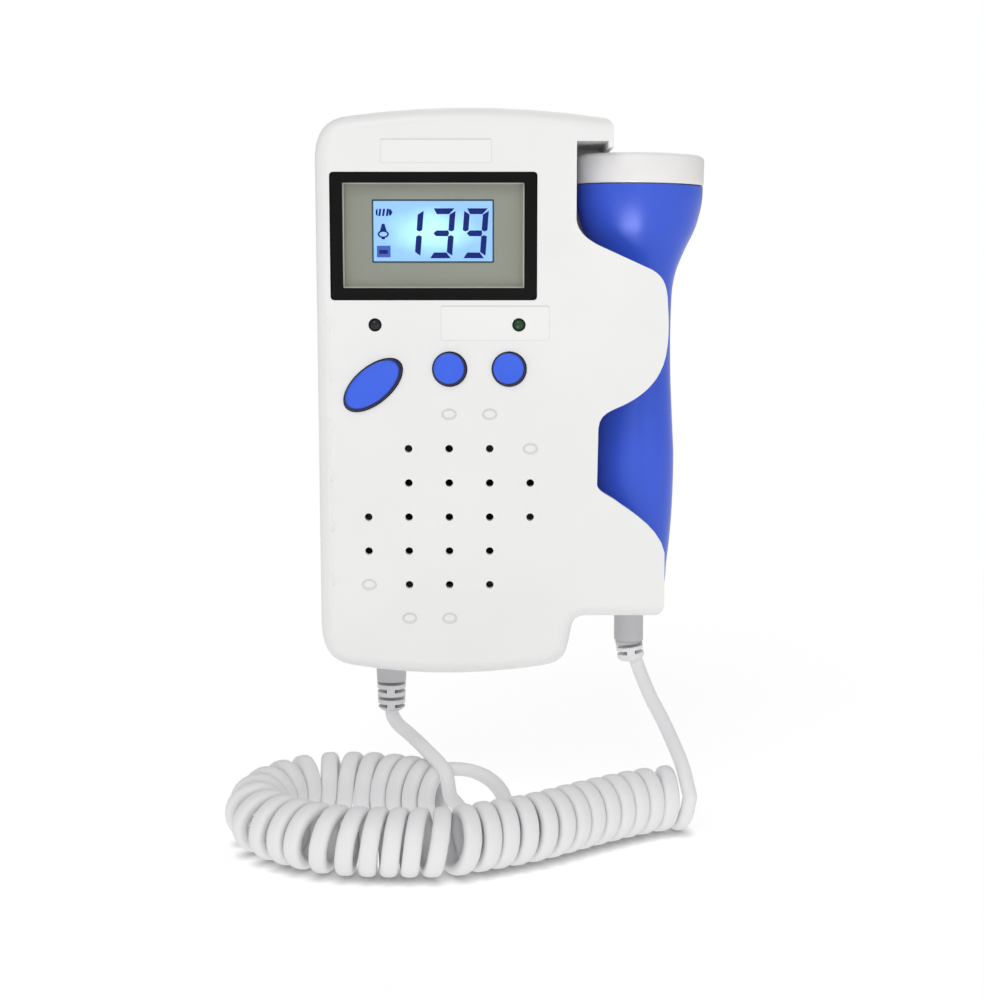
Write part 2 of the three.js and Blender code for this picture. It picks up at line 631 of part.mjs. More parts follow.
// Room for the unit's strain relief in the foot, half in each shell.
function reliefPassage() {
  const inside = FOOT_Z + SHELL_WALL;
  const flangeTop = inside + RELIEF_FLANGE + 2 * FIT_GAP;
  const profile = [
    [0, FOOT_Z - OVERRUN],
    [RELIEF_TOP_RADIUS + FIT_GAP, FOOT_Z - OVERRUN],
    [RELIEF_TOP_RADIUS + FIT_GAP, inside],
    [RELIEF_FLANGE_RADIUS + FIT_GAP, inside],
    [RELIEF_FLANGE_RADIUS + FIT_GAP, flangeTop],
    [0, flangeTop],
  ];
  return turned(profile, RELIEF_SEGMENTS).translate([RELIEF_X, SEAM_Y, 0]);
}

// Front shell

function frontShell() {
  const envelope = plateY(envelopeOutline(FRONT_ENVELOPE_X), FRONT_Y, FRONT_SHELL_BACK_Y, {
    front: FRONT_EDGE_ROUND, segments: 4,
  });
  const face = plateY(faceOutline(), FRONT_Y, FRONT_SHELL_BACK_Y);
  let shell = envelope.intersect(face);
  shell = shell.subtract(bodyRoom(PLATE_BACK_Y, FRONT_SHELL_BACK_Y + OVERRUN));
  shell = shell.subtract(cradleRoom());
  shell = shell.add(saddles(PLATE_BACK_Y - FIT_GAP, FRONT_SHELL_BACK_Y));
  shell = joined([shell, ...CASE_SCREW_PLACES.map(([x, z]) => (
    barY(x, z, CASE_BOSS_RADIUS, PLATE_BACK_Y - FIT_GAP, FRONT_SHELL_BACK_Y)
  ))]);
  shell = joined([shell, ...BOARD_SCREW_PLACES.map(([x, z]) => (
    barY(x, z, BOARD_BOSS_RADIUS, PLATE_BACK_Y - FIT_GAP, BOARD_FRONT_Y - FIT_GAP)
  ))]);
  return cut(shell, frontOpenings()).subtract(reliefPassage()).subtract(reliefSlot());
}

function frontOpenings() {
  const { x0, x1, z0, z1, corner } = WINDOW;
  const through = [FRONT_Y - OVERRUN, PLATE_BACK_Y + FIT_GAP];
  const window = roundedRectangle(x0 - FIT_GAP, x1 + FIT_GAP, z0 - FIT_GAP, z1 + FIT_GAP, corner);
  const openings = [plateY(window, ...through)];
  openings.push(plateY(powerButtonOutline(FIT_GAP), ...through));
  for (const [x, z] of Object.values(ROUND_BUTTON_PLACES)) {
    openings.push(barY(x, z, ROUND_BUTTON_RADIUS + FIT_GAP, ...through, BUTTON_SEGMENTS));
  }
  for (const [x, z] of Object.values(LED_PLACES)) {
    openings.push(barY(x, z, LED_RADIUS + FIT_GAP / 2, ...through));
  }
  for (const [row, columns] of Object.entries(GRILLE_ROWS)) {
    for (const column of columns) {
      const [x, z] = grillePlace(column, Number(row));
      openings.push(barY(x, z, GRILLE_HOLE_RADIUS, ...through, HOLE_SEGMENTS));
    }
  }
  for (const [column, row] of DIMPLE_PLACES) {
    const dimple = discOutline(grillePlace(column, row), DIMPLE_HALF_WIDTH, DIMPLE_HALF_HEIGHT);
    openings.push(plateY(dimple, FRONT_Y - OVERRUN, FRONT_Y + DIMPLE_DEPTH));
  }
  openings.push(...GRIP_MARK_PLACES.map(gripMark));
  for (const [x, z] of CASE_SCREW_PLACES) {
    const tip = COUNTERBORE_FLOOR_Y - SCREW_HEAD_HEIGHT - SCREW_DEPTH - 2 * FIT_GAP;
    openings.push(barY(x, z, CASE_SCREW_RADIUS + FIT_GAP, tip, FRONT_SHELL_BACK_Y + OVERRUN, HOLE_SEGMENTS));
  }
  for (const [x, z] of BOARD_SCREW_PLACES) {
    const tip = BOARD_FRONT_Y - BOARD_SCREW_DEPTH - FIT_GAP;
    openings.push(barY(x, z, BOARD_SCREW_RADIUS + FIT_GAP / 2, tip, BOARD_FRONT_Y + OVERRUN, HOLE_SEGMENTS));
  }
  return openings;
}

// Rear shell with the battery bay

function backBlank() {
  const envelope = plateY(envelopeOutline(FLAP_RIGHT_X), REAR_SHELL_FRONT_Y, 0, { back: BACK_EDGE_ROUND });
  return envelope.intersect(plateY(backOutline(), REAR_SHELL_FRONT_Y, 0));
}

function coverSpace(margin) {
  const half = COVER_HALF_WIDTH + margin;
  return box(-half, half, BACK_WALL_Y, OVERRUN, -2 * UNIT_HALF_HEIGHT, COVER_TOP_Z + margin);
}

function rearShell() {
  let shell = backBlank().subtract(bodyRoom(REAR_SHELL_FRONT_Y - OVERRUN, BACK_WALL_Y));
  shell = shell.subtract(cradleRoom());
  shell = shell.add(saddles(REAR_SHELL_FRONT_Y, BACK_WALL_Y + FIT_GAP));
  shell = shell.add(box(
    -BAY_HALF_WIDTH - BAY_WALL, BAY_HALF_WIDTH + BAY_WALL,
    BAY_FLOOR_Y - BAY_WALL, BACK_WALL_Y + FIT_GAP,
    BAY_BOTTOM_Z - BAY_WALL, BAY_TOP_Z + BAY_WALL,
  ));
  shell = joined([shell, ...CASE_SCREW_PLACES.map(([x, z]) => (
    barY(x, z, CASE_BOSS_RADIUS, REAR_SHELL_FRONT_Y, BACK_WALL_Y + FIT_GAP)
  ))]);
  const bay = box(
    -BAY_HALF_WIDTH, BAY_HALF_WIDTH, BAY_FLOOR_Y, OVERRUN, BAY_BOTTOM_Z, BAY_TOP_Z,
  );
  const screwHoles = CASE_SCREW_PLACES.flatMap(([x, z]) => [
    barY(x, z, CASE_SCREW_RADIUS + FIT_GAP, REAR_SHELL_FRONT_Y - OVERRUN, OVERRUN, HOLE_SEGMENTS),
    barY(x, z, SCREW_HEAD_RADIUS + FIT_GAP, COUNTERBORE_FLOOR_Y, OVERRUN, SMALL_SEGMENTS),
  ]);
  return cut(shell, [bay, coverSpace(FIT_GAP), reliefPassage(), reliefSlot(), ...screwHoles]);
}

// Battery cover: the back wall's lower end, with ridges for the thumb
const RIDGE_COUNT = 4;
const RIDGE_PITCH = 2.4;
const RIDGE_HALF_WIDTH = 6;
const RIDGE_HEIGHT = 0.6;
const RIDGE_DROP = 4.5;
const RIDGE_FIRST_Z = COVER_TOP_Z - RIDGE_DROP;

function batteryCover() {
  const blank = backBlank().intersect(coverSpace(0));
  const bodies = [blank.subtract(box(
    -2 * COVER_HALF_WIDTH, 2 * COVER_HALF_WIDTH, -UNIT_DEPTH, BACK_WALL_Y + FIT_GAP / 2,
    -2 * UNIT_HALF_HEIGHT, COVER_TOP_Z,
  ))];
  const cuts = [];
  for (let i = 0; i < RIDGE_COUNT; i += 1) {
    const z = RIDGE_FIRST_Z - i * RIDGE_PITCH;
    cuts.push(box(
      -RIDGE_HALF_WIDTH, RIDGE_HALF_WIDTH, -RIDGE_HEIGHT, OVERRUN, z - RIDGE_HEIGHT, z + RIDGE_HEIGHT,
    ));
  }
  return cut(joined(bodies), cuts);
}

// Cells and their contacts

function cell(x, upright) {
  const length = CELL_LENGTH;
  const profile = [
    [0, -length / 2],
    [CELL_RADIUS - CONTACT_THICKNESS, -length / 2],
    [CELL_RADIUS, -length / 2 + CONTACT_THICKNESS],
    [CELL_RADIUS, length / 2 - CONTACT_THICKNESS],
    [CELL_RADIUS - CONTACT_THICKNESS, length / 2],
    [CELL_TIP_RADIUS, length / 2],
    [CELL_TIP_RADIUS, length / 2 + CELL_TIP_LENGTH],
    [0, length / 2 + CELL_TIP_LENGTH],
  ];
  const turn = upright ? turned(profile, RELIEF_SEGMENTS) : turned(profile, RELIEF_SEGMENTS).rotate([180, 0, 0]);
  const middle = (BAY_TOP_Z + BAY_BOTTOM_Z) / 2 + (upright ? -1 : 1) * CELL_TIP_LENGTH / 2;
  return turn.translate([x, CELL_Y, middle]);
}

function plateContact(z0, z1) {
  const half = BAY_HALF_WIDTH - FIT_GAP;
  return box(-half, half, CELL_Y - CELL_RADIUS / 2, CELL_Y + CELL_RADIUS / 2, z0, z1);
}

function springContact(x, baseZ, direction) {
  const reach = CONTACT_ROOM / 2 - FIT_GAP;
  const half = CELL_RADIUS - CELL_SPACING / 2;
  const profile = [
    [0, 0],
    [half * 0.8, 0],
    [half * 0.8, CONTACT_THICKNESS],
    [half * 0.7, CONTACT_THICKNESS],
    [half * 0.4, reach - FIT_GAP],
    [0, reach - FIT_GAP],
  ];
  const turn = direction > 0 ? turned(profile, SMALL_SEGMENTS) : turned(profile, SMALL_SEGMENTS).rotate([180, 0, 0]);
  return turn.translate([x, CELL_Y, baseZ]);
}

// Screws

function screw([x, z], headY, shaftRadius, headRadius, headHeight, depth) {
  const profile = [
    [0, headY - depth],
    [shaftRadius * 0.6, headY - depth],
    [shaftRadius, headY - depth + shaftRadius],
    [shaftRadius, headY],
    [headRadius, headY],
    [headRadius, headY + headHeight * 0.6],
    [headRadius * 0.7, headY + headHeight],
    [0, headY + headHeight],
  ];
  return turnedY(profile, x, z, HOLE_SEGMENTS);
}

// Display stack

function displayStack() {
  const { x0, x1, z0, z1, corner } = WINDOW;
  const open = {
    x0: x0 + BEZEL_BORDER, x1: x1 - BEZEL_BORDER, z0: z0 + BEZEL_BORDER, z1: z1 - BEZEL_BORDER,
  };
  const flangeY = PLATE_BACK_Y + FIT_GAP;
  const frameOutline = roundedRectangle(x0, x1, z0, z1, corner);
  const flangeOutline = roundedRectangle(
    x0 - BEZEL_FLANGE, x1 + BEZEL_FLANGE, z0 - BEZEL_FLANGE, z1 + BEZEL_FLANGE, corner,
  );
  const seatY = FRONT_Y + LENS_RECESS;
  const seat = box(
    open.x0 - LENS_SEAT, open.x1 + LENS_SEAT, seatY, flangeY + OVERRUN,
    open.z0 - LENS_SEAT, open.z1 + LENS_SEAT,
  );
  const hole = box(open.x0, open.x1, FRONT_Y - OVERRUN, flangeY + OVERRUN, open.z0, open.z1);
  const bezel = plateY(frameOutline, FRONT_Y, flangeY + FLANGE_THICKNESS)
    .add(plateY(flangeOutline, flangeY, flangeY + FLANGE_THICKNESS))
    .subtract(seat).subtract(hole);
  add('lcd_bezel', bezel, BLACK_ABS);

  const grow = LENS_SEAT - FIT_GAP;
  const slab = (y0, thickness, margin) => box(
    open.x0 - margin, open.x1 + margin, y0, y0 + thickness, open.z0 - margin, open.z1 + margin,
  );
  const lensY = seatY + FIT_GAP;
  const panelY = lensY + LENS_THICKNESS + FIT_GAP;
  const backlightY = panelY + PANEL_THICKNESS + FIT_GAP;
  add('window_lens', slab(lensY, LENS_THICKNESS, grow), CLEAR);
  add('lcd_panel', slab(panelY, PANEL_THICKNESS, grow), LCD_GLASS);
  add('lcd_backlight', slab(backlightY, BACKLIGHT_THICKNESS, grow), BACKLIGHT);

  const holderY = backlightY + BACKLIGHT_THICKNESS + FIT_GAP;
  const holder = box(
    open.x0, open.x1, holderY, BOARD_FRONT_Y - FIT_GAP, open.z0, open.z1,
  );
  const inner = box(
    open.x0 + SHELL_WALL, open.x1 - SHELL_WALL, holderY + SHELL_WALL, 0,
    open.z0 + SHELL_WALL, open.z1 - SHELL_WALL,
  );
  add('lcd_holder', holder.subtract(inner), WHITE_ABS);
}

// Loudspeaker behind the grille
const BOSS_TO_SPEAKER = 3;
const SPEAKER_TO_BOARD = 2.1;
const SPEAKER_RADIUS = BOARD_SCREW_PLACES[3][0] - BOARD_BOSS_RADIUS - BOSS_TO_SPEAKER;
const SPEAKER_RIM = 3;
const SPEAKER_RIM_HEIGHT = 1.4;
const MAGNET_SHARE = 0.45;
const MAGNET_RADIUS = MAGNET_SHARE * SPEAKER_RADIUS;
const GASKET_THICKNESS = 0.8;
const SPEAKER_BACK_Y = BOARD_FRONT_Y - SPEAKER_TO_BOARD;
const CONE_THICKNESS = 0.7;
const DUST_CAP_RADIUS = 5;

function speaker() {
  const [x, z] = GRILLE_CENTRE;
  const gasketY = PLATE_BACK_Y + FIT_GAP;
  const ring = barY(x, z, SPEAKER_RADIUS, gasketY, gasketY + GASKET_THICKNESS, FINE_SEGMENTS)
    .subtract(barY(x, z, SPEAKER_RADIUS - SPEAKER_RIM, gasketY - OVERRUN, gasketY + OVERRUN, FINE_SEGMENTS));
  add('speaker_gasket', ring, FOAM);

  const rimY = gasketY + GASKET_THICKNESS + FIT_GAP;
  const rimBack = rimY + SPEAKER_RIM_HEIGHT;
  const backY = SPEAKER_BACK_Y;
  const inner = SPEAKER_RADIUS - SPEAKER_RIM;
  const bowl = rimY + (backY - rimY) * 0.45;
  const throat = DUST_CAP_RADIUS + CONE_THICKNESS + FIT_GAP;
  add('speaker_frame', turnedY([
    [0, backY],
    [MAGNET_RADIUS, backY],
    [MAGNET_RADIUS, bowl + SPEAKER_RIM_HEIGHT],
    [SPEAKER_RADIUS - SPEAKER_RIM / 2, rimBack],
    [SPEAKER_RADIUS, rimBack],
    [SPEAKER_RADIUS, rimY],
    [inner, rimY],
    [inner - FIT_GAP, rimY + CONE_THICKNESS + 2 * FIT_GAP],
    [throat, bowl],
    [0, bowl],
  ].reverse(), x, z, FINE_SEGMENTS), STEEL);

  const coneEdge = inner - 2 * FIT_GAP;
  const coneBack = bowl - FIT_GAP;
  add('speaker_cone', turnedY([
    [0, coneBack],
    [throat - FIT_GAP, coneBack],
    [coneEdge - FIT_GAP, rimY + CONE_THICKNESS + FIT_GAP],
    [coneEdge, rimY + FIT_GAP],
    [coneEdge - CONE_THICKNESS, rimY + FIT_GAP],
    [DUST_CAP_RADIUS, coneBack - CONE_THICKNESS],
    [DUST_CAP_RADIUS / 2, coneBack - 2 * CONE_THICKNESS],
    [0, coneBack - 2.4 * CONE_THICKNESS],
  ].reverse(), x, z, FINE_SEGMENTS), PAPER_BLACK);
}

// Buttons and the switches under them
const SWITCH_HALF = 3;
const SWITCH_HEIGHT = 3.4;
const PLUNGER_RADIUS = 1.6;
const PLUNGER_HEIGHT = 1.4;
const SWITCH_FRONT_Y = BOARD_FRONT_Y - FIT_GAP - SWITCH_HEIGHT - PLUNGER_HEIGHT;
const STEM_END_Y = SWITCH_FRONT_Y - BUTTON_TRAVEL - FIT_GAP;

function tactSwitch([x, z]) {
  const baseY = BOARD_FRONT_Y - FIT_GAP;
  const body = box(
    x - SWITCH_HALF, x + SWITCH_HALF, baseY - SWITCH_HEIGHT, baseY, z - SWITCH_HALF, z + SWITCH_HALF,
  );
  return body.add(barY(x, z, PLUNGER_RADIUS, SWITCH_FRONT_Y, baseY - FIT_GAP, HOLE_SEGMENTS));
}

function roundButton([x, z]) {
  const faceY = FRONT_Y - BUTTON_PROUD;
  const flangeY = PLATE_BACK_Y + FIT_GAP;
  const r = ROUND_BUTTON_RADIUS;
  return turnedY([
    [0, faceY + 0.25 * BUTTON_PROUD],
    [r * 0.5, faceY + 0.12 * BUTTON_PROUD],
    [r * 0.8, faceY],
    [r * 0.95, faceY + 0.25 * BUTTON_PROUD],
    [r, faceY + 0.7 * BUTTON_PROUD],
    [r, flangeY],
    [r + BUTTON_FLANGE, flangeY],
    [r + BUTTON_FLANGE, flangeY + BUTTON_FLANGE],
    [BUTTON_STEM_RADIUS, flangeY + BUTTON_FLANGE],
    [BUTTON_STEM_RADIUS, STEM_END_Y],
    [0, STEM_END_Y],
  ], x, z, BUTTON_SEGMENTS);
}

function powerButton() {
  const flangeY = PLATE_BACK_Y + FIT_GAP;
  const [x, z] = POWER_BUTTON_PLACE;
  const cap = plateY(powerButtonOutline(0), FRONT_Y - BUTTON_PROUD, flangeY + BUTTON_FLANGE, {
    front: 0.8 * BUTTON_PROUD,
  });
  const flange = plateY(powerButtonOutline(BUTTON_FLANGE), flangeY, flangeY + BUTTON_FLANGE);
  return joined([cap, flange, barY(x, z, BUTTON_STEM_RADIUS, flangeY, STEM_END_Y, HOLE_SEGMENTS)]);
}

function led([x, z]) {
  const tipY = FRONT_Y - FIT_GAP;
  const shoulder = tipY + LED_RADIUS * 0.6;
  return turnedY([
    [0, tipY],
    [LED_RADIUS * 0.6, tipY + LED_RADIUS * 0.15],
    [LED_RADIUS, shoulder],
    [LED_RADIUS, tipY + LED_BODY_LENGTH],
    [LED_SPACER_RADIUS, tipY + LED_BODY_LENGTH],
    [LED_SPACER_RADIUS, BOARD_FRONT_Y - FIT_GAP],
    [0, BOARD_FRONT_Y - FIT_GAP],
  ], x, z, SMALL_SEGMENTS);
}

// Board with holes for its screws.
function mainBoard() {
  const { x0, x1, z0, z1, corner } = BOARD;
  const blank = plateY(roundedRectangle(x0, x1, z0, z1, corner), BOARD_FRONT_Y, BOARD_BACK_Y);
  return cut(blank, BOARD_SCREW_PLACES.map(([x, z]) => (
    barY(x, z, BOARD_SCREW_RADIUS + FIT_GAP, BOARD_FRONT_Y - OVERRUN, BOARD_BACK_Y + OVERRUN, HOLE_SEGMENTS)
  )));
}

// Strain relief of the unit: a slotted taper with a flange held between the shells.
function slottedTaper(topZ, endZ, topRadius, endRadius, slotHeights) {
  let taper = turned([
    [0, endZ],
    [endRadius * 0.8, endZ],
    [endRadius, endZ + endRadius * 0.2],
    [topRadius, topZ],
    [0, topZ],
  ], RELIEF_SEGMENTS);
  const reach = 2 * topRadius;
  slotHeights.forEach((z, i) => {
    const web = RELIEF_WEB / 2;
    const half = RELIEF_SLOT / 2;
    const spans = i % 2 === 0
      ? [[-reach, reach, web, reach], [-reach, reach, -reach, -web]]
      : [[web, reach, -reach, reach], [-reach, -web, -reach, reach]];
    for (const [x0, x1, y0, y1] of spans) {
      taper = taper.subtract(box(x0, x1, y0, y1, z - half, z + half));
    }
  });
  return taper;
}

function unitRelief() {
  const inside = FOOT_Z + SHELL_WALL;
  const slots = [0, 1, 2, 3].map((i) => RELIEF_FIRST_SLOT_Z - i * RELIEF_SLOT_PITCH);
  const flange = turned([
    [0, inside - SHELL_WALL],
    [RELIEF_TOP_RADIUS, inside - SHELL_WALL],
    [RELIEF_TOP_RADIUS, inside + FIT_GAP],
    [RELIEF_FLANGE_RADIUS, inside + FIT_GAP],
    [RELIEF_FLANGE_RADIUS, inside + FIT_GAP + RELIEF_FLANGE],
    [0, inside + FIT_GAP + RELIEF_FLANGE],
  ], RELIEF_SEGMENTS);
  const taper = slottedTaper(FOOT_Z + FIT_GAP, RELIEF_END_Z, RELIEF_TOP_RADIUS, RELIEF_END_RADIUS, slots);
  return flange.add(taper).translate([RELIEF_X, SEAM_Y, 0]);
}

function probeRelief() {
  const top = PROBE_END_Z - FIT_GAP;
  const collar = turned([
    [0, COLLAR_END_Z],
    [COLLAR_RADIUS, COLLAR_END_Z],
    [COLLAR_RADIUS, top],
    [0, top],
  ], RELIEF_SEGMENTS);
  const ribbed = slottedTaper(
    RELIEF_WEB / 2, -PROBE_RELIEF_END, PROBE_RELIEF_RADIUS, PROBE_RELIEF_RADIUS, PROBE_RELIEF_SLOTS,
  )
    .rotate([0, THREE.MathUtils.radToDeg(PROBE_RELIEF_LEAN), 0])
    .translate([0, 0, COLLAR_END_Z]);
  return collar.add(ribbed);
}

// Probe

function probeShells() {
  const outside = turned(probeProfile(0, 0), PROBE_SEGMENTS);
  const inside = turned(probeProfile(PROBE_WALL, PROBE_WALL), PROBE_SEGMENTS)
    .add(turned([
      [0, SEAM_Z - OVERRUN], [HEAD_RADIUS - PROBE_WALL - FIT_GAP, SEAM_Z - OVERRUN],
      [HEAD_RADIUS - PROBE_WALL, SEAM_Z + OVERRUN], [0, SEAM_Z + OVERRUN],
    ], PROBE_SEGMENTS));
  const shell = outside.subtract(inside);
  const reach = 2 * HEAD_RADIUS;
  const front = box(-reach, reach, -reach, -FIT_GAP / 2, 2 * PROBE_END_Z, 2 * SEAM_Z);
  const rear = box(-reach, reach, FIT_GAP / 2, reach, 2 * PROBE_END_Z, 2 * SEAM_Z);
  add('probe_shell_front', shell.intersect(front), BLUE_ABS, probe);
  add('probe_shell_rear', shell.intersect(rear), BLUE_ABS, probe);
}

const CAP_SPIGOT_DEPTH = 3;
const CAP_FACE = 1.5;

function probeHead() {
  const base = SEAM_Z + FIT_GAP;
  const top = SEAM_Z + CAP_HEIGHT;
  const spigot = HEAD_RADIUS - PROBE_WALL - 2 * FIT_GAP - 0.3 * PROBE_WALL;
  const bore = spigot - PROBE_WALL;
  const cap = turned([
    [0, top - CAP_FACE],
    [bore, top - CAP_FACE],
    [bore, base - CAP_SPIGOT_DEPTH],
    [spigot, base - CAP_SPIGOT_DEPTH],
    [spigot, base],
    [CAP_RADIUS, base],
    [CAP_RADIUS, top - CAP_EDGE],
    [CAP_RADIUS - CAP_EDGE * 0.3, top - CAP_EDGE * 0.3],
    [CAP_RADIUS - CAP_EDGE, top],
    [0, top + CAP_DOME],
  ], PROBE_SEGMENTS);
  add('probe_face_cap', cap, CAP_ABS, probe);

  // Two half-round crystals side by side: one sends, one listens.
  const crystal = bore - FIT_GAP;
  const crystalTop = top - CAP_FACE - FIT_GAP;
  const crystalBottom = crystalTop - CAP_FACE;
  const disc = turned([
    [0, crystalBottom], [crystal, crystalBottom], [crystal, crystalTop], [0, crystalTop],
  ], PROBE_SEGMENTS);
  const reach = 2 * HEAD_RADIUS;
  const split = FIT_GAP;
  add('transducer_transmit', disc.intersect(box(-reach, -split, -reach, reach, 0, 2 * SEAM_Z)), CERAMIC, probe);
  add('transducer_receive', disc.intersect(box(split, reach, -reach, reach, 0, 2 * SEAM_Z)), CERAMIC, probe);
  const backing = turned([
    [0, base - CAP_SPIGOT_DEPTH],
    [crystal, base - CAP_SPIGOT_DEPTH],
    [crystal, crystalBottom - FIT_GAP],
    [0, crystalBottom - FIT_GAP],
  ], PROBE_SEGMENTS);
  add('transducer_backing', backing, FOAM, probe);
}

const PROBE_BOARD_HALF_WIDTH = 6.3;
const PROBE_BOARD_THICKNESS = 1.2;
const PROBE_BOARD_LENGTH = 44;

function probeInsides() {
  const half = PROBE_BOARD_THICKNESS / 2;
  const bottom = PROBE_END_Z + PROBE_WALL + FIT_GAP + CAP_FACE;
  add('probe_board', box(
    -PROBE_BOARD_HALF_WIDTH, PROBE_BOARD_HALF_WIDTH, -half, half, bottom, bottom + PROBE_BOARD_LENGTH,
  ), BOARD_GREEN, probe);
  add('probe_strain_relief', probeRelief(), RELIEF_PVC, probe);
}

// Curly cord. The coil lies in an open loop on the surface under the unit: places of its axis.
const COIL_ROUTE = [
  [56.8, -40.8], [51.5, -42], [43.7, -46], [32.6, -53.7], [20.4, -62.9], [9.8, -68.5], [0.8, -72.5],
  [-9.7, -73], [-20.5, -72.2], [-27.4, -70.2], [-33, -66.9], [-38.6, -62.6], [-42.8, -57.4], [-44.5, -51.2],
  [-44, -44.7], [-41.6, -38.8], [-37.4, -34], [-32.6, -31], [-27.1, -29.7], [-17.1, -30.4], [-8.5, -33.5],
  [2, -38.6],
];
// Smooth stretches from the two strain reliefs to the coil.
const PROBE_TAIL_ROUTE = [
  [46.9, -17.5, -69.8], [47.2, -17.6, -71.5], [48.7, -19.6, -73.6], [50.9, -24, -76.6],
  [53.3, -30, -80.4], [55.1, -35.5, -84.5], [56.6, -41, -88.4],
];
const UNIT_TAIL_ROUTE = [
  [-14.65, -17.5, -82.15], [-14.5, -17.8, -83.7], [-13.3, -20, -85], [-10.2, -25, -86], [-5.3, -35, -86.8],
  [-0.6, -43.4, -87.7],
];

// Points of the coil's wire: it winds round the route and slows down where the loop bends.
function coilWire() {
  const route = new THREE.CatmullRomCurve3(
    COIL_ROUTE.map(([x, y]) => new THREE.Vector3(x, y, COIL_Z)), false, 'centripetal',
  );
  route.arcLengthDivisions = 800;
  const length = route.getLength();
  const sampleStep = 0.25;
  const samples = Math.round(length / sampleStep);
  const turns = [0];
  for (let i = 1; i <= samples; i += 1) {
    const share = (i - 0.5) / samples;
    const before = route.getTangentAt(Math.max(share - 0.02, 0));
    const after = route.getTangentAt(Math.min(share + 0.02, 1));
    const span = (Math.min(share + 0.02, 1) - Math.max(share - 0.02, 0)) * length;
    const bend = before.angleTo(after) / span;
    const pitch = Math.max(CURL_PITCH, BEND_PITCH / (1 - COIL_RADIUS * bend));
    turns.push(turns[i - 1] + length / samples / pitch);
  }
  const curls = Math.floor(turns[samples] - 0.5) + 0.5;
  const scale = curls / turns[samples];
  const points = [];
  const spokes = [];
  const looseFrom = curls - 0.8;
  let cursor = 0;
  const total = Math.round(curls * CURL_STEPS);
  for (let k = 0; k <= total; k += 1) {
    const turn = k / CURL_STEPS;
    while (cursor < samples && turns[cursor + 1] * scale < turn) cursor += 1;
    const low = turns[cursor] * scale;
    const high = turns[Math.min(cursor + 1, samples)] * scale;
    const share = Math.min((cursor + (high > low ? (turn - low) / (high - low) : 0)) / samples, 1);
    const centre = route.getPointAt(share);
    const along = route.getTangentAt(share);
    const out = new THREE.Vector3(-along.y, along.x, 0);
    const angle = 2 * Math.PI * turn;
    const spoke = out.multiplyScalar(Math.cos(angle)).add(new THREE.Vector3(0, 0, -Math.sin(angle)));
    const loose = Math.max((turn - looseFrom) / (curls - looseFrom), 0);
    const reach = LOOSE_CURL_REACH * Math.sin(Math.PI * loose) + LOOSE_CURL_RUN * loose;
    points.push(centre.addScaledVector(along, reach).addScaledVector(spoke, COIL_RADIUS));
    spokes.push(spoke);
  }
  return { points, spokes, curls };
}

// A tube whose rings follow the spokes, closed at both ends.
function tubeOnSpokes(points, spokes, radius, sides) {
  const positions = [];
  const index = [];
  points.forEach((point, i) => {
    const before = points[Math.max(i - 1, 0)];
    const after = points[Math.min(i + 1, points.length - 1)];
    const along = new THREE.Vector3().subVectors(after, before).normalize();
    const up = spokes[i].clone().addScaledVector(along, -spokes[i].dot(along)).normalize();
    const side = new THREE.Vector3().crossVectors(along, up);
    for (let j = 0; j < sides; j += 1) {
      const angle = (2 * Math.PI * j) / sides;
      const ring = point.clone()
        .addScaledVector(up, radius * Math.cos(angle))
        .addScaledVector(side, radius * Math.sin(angle));
      positions.push(ring.x, ring.y, ring.z);
    }
  });
  const last = points.length - 1;
  for (let i = 0; i < last; i += 1) {
    for (let j = 0; j < sides; j += 1) {
      const a = i * sides + j;
      const b = i * sides + ((j + 1) % sides);
      index.push(a, b, b + sides, a, b + sides, a + sides);
    }
  }
  for (let j = 1; j < sides - 1; j += 1) {
    index.push(0, j + 1, j);
    index.push(last * sides, last * sides + j, last * sides + j + 1);
  }
  const geometry = new THREE.BufferGeometry();
  geometry.setAttribute('position', new THREE.Float32BufferAttribute(positions, 3));
  geometry.setIndex(index);
  geometry.computeVertexNormals();
  return geometry;
}

// Least distance between parts of the wire that are more than half a curl apart.
function leastGap(points) {
  let least = Infinity;
  for (let i = 0; i < points.length - 1; i += 1) {
    for (let j = i + CURL_STEPS / 2 + 1; j < points.length; j += 1) {
      least = Math.min(least, segmentDistance(points[i], points[i + 1], points[j]));
    }
  }
  return least - CORD_DIAMETER;
}

function segmentDistance(a, b, p) {
  const ab = new THREE.Vector3().subVectors(b, a);
  const t = THREE.MathUtils.clamp(new THREE.Vector3().subVectors(p, a).dot(ab) / ab.lengthSq(), 0, 1);
  return a.clone().addScaledVector(ab, t).distanceTo(p);
}

function tailTube(points) {
  const curve = new THREE.CatmullRomCurve3(points, false, 'centripetal');
  const section = discOutline([0, 0], CORD_DIAMETER / 2, CORD_DIAMETER / 2, TAIL_SIDES);
  return new THREE.ExtrudeGeometry(section, {
    steps: Math.ceil(curve.getLength() / TAIL_STEP) * 2,
    bevelEnabled: false,
    extrudePath: curve,
  });
}

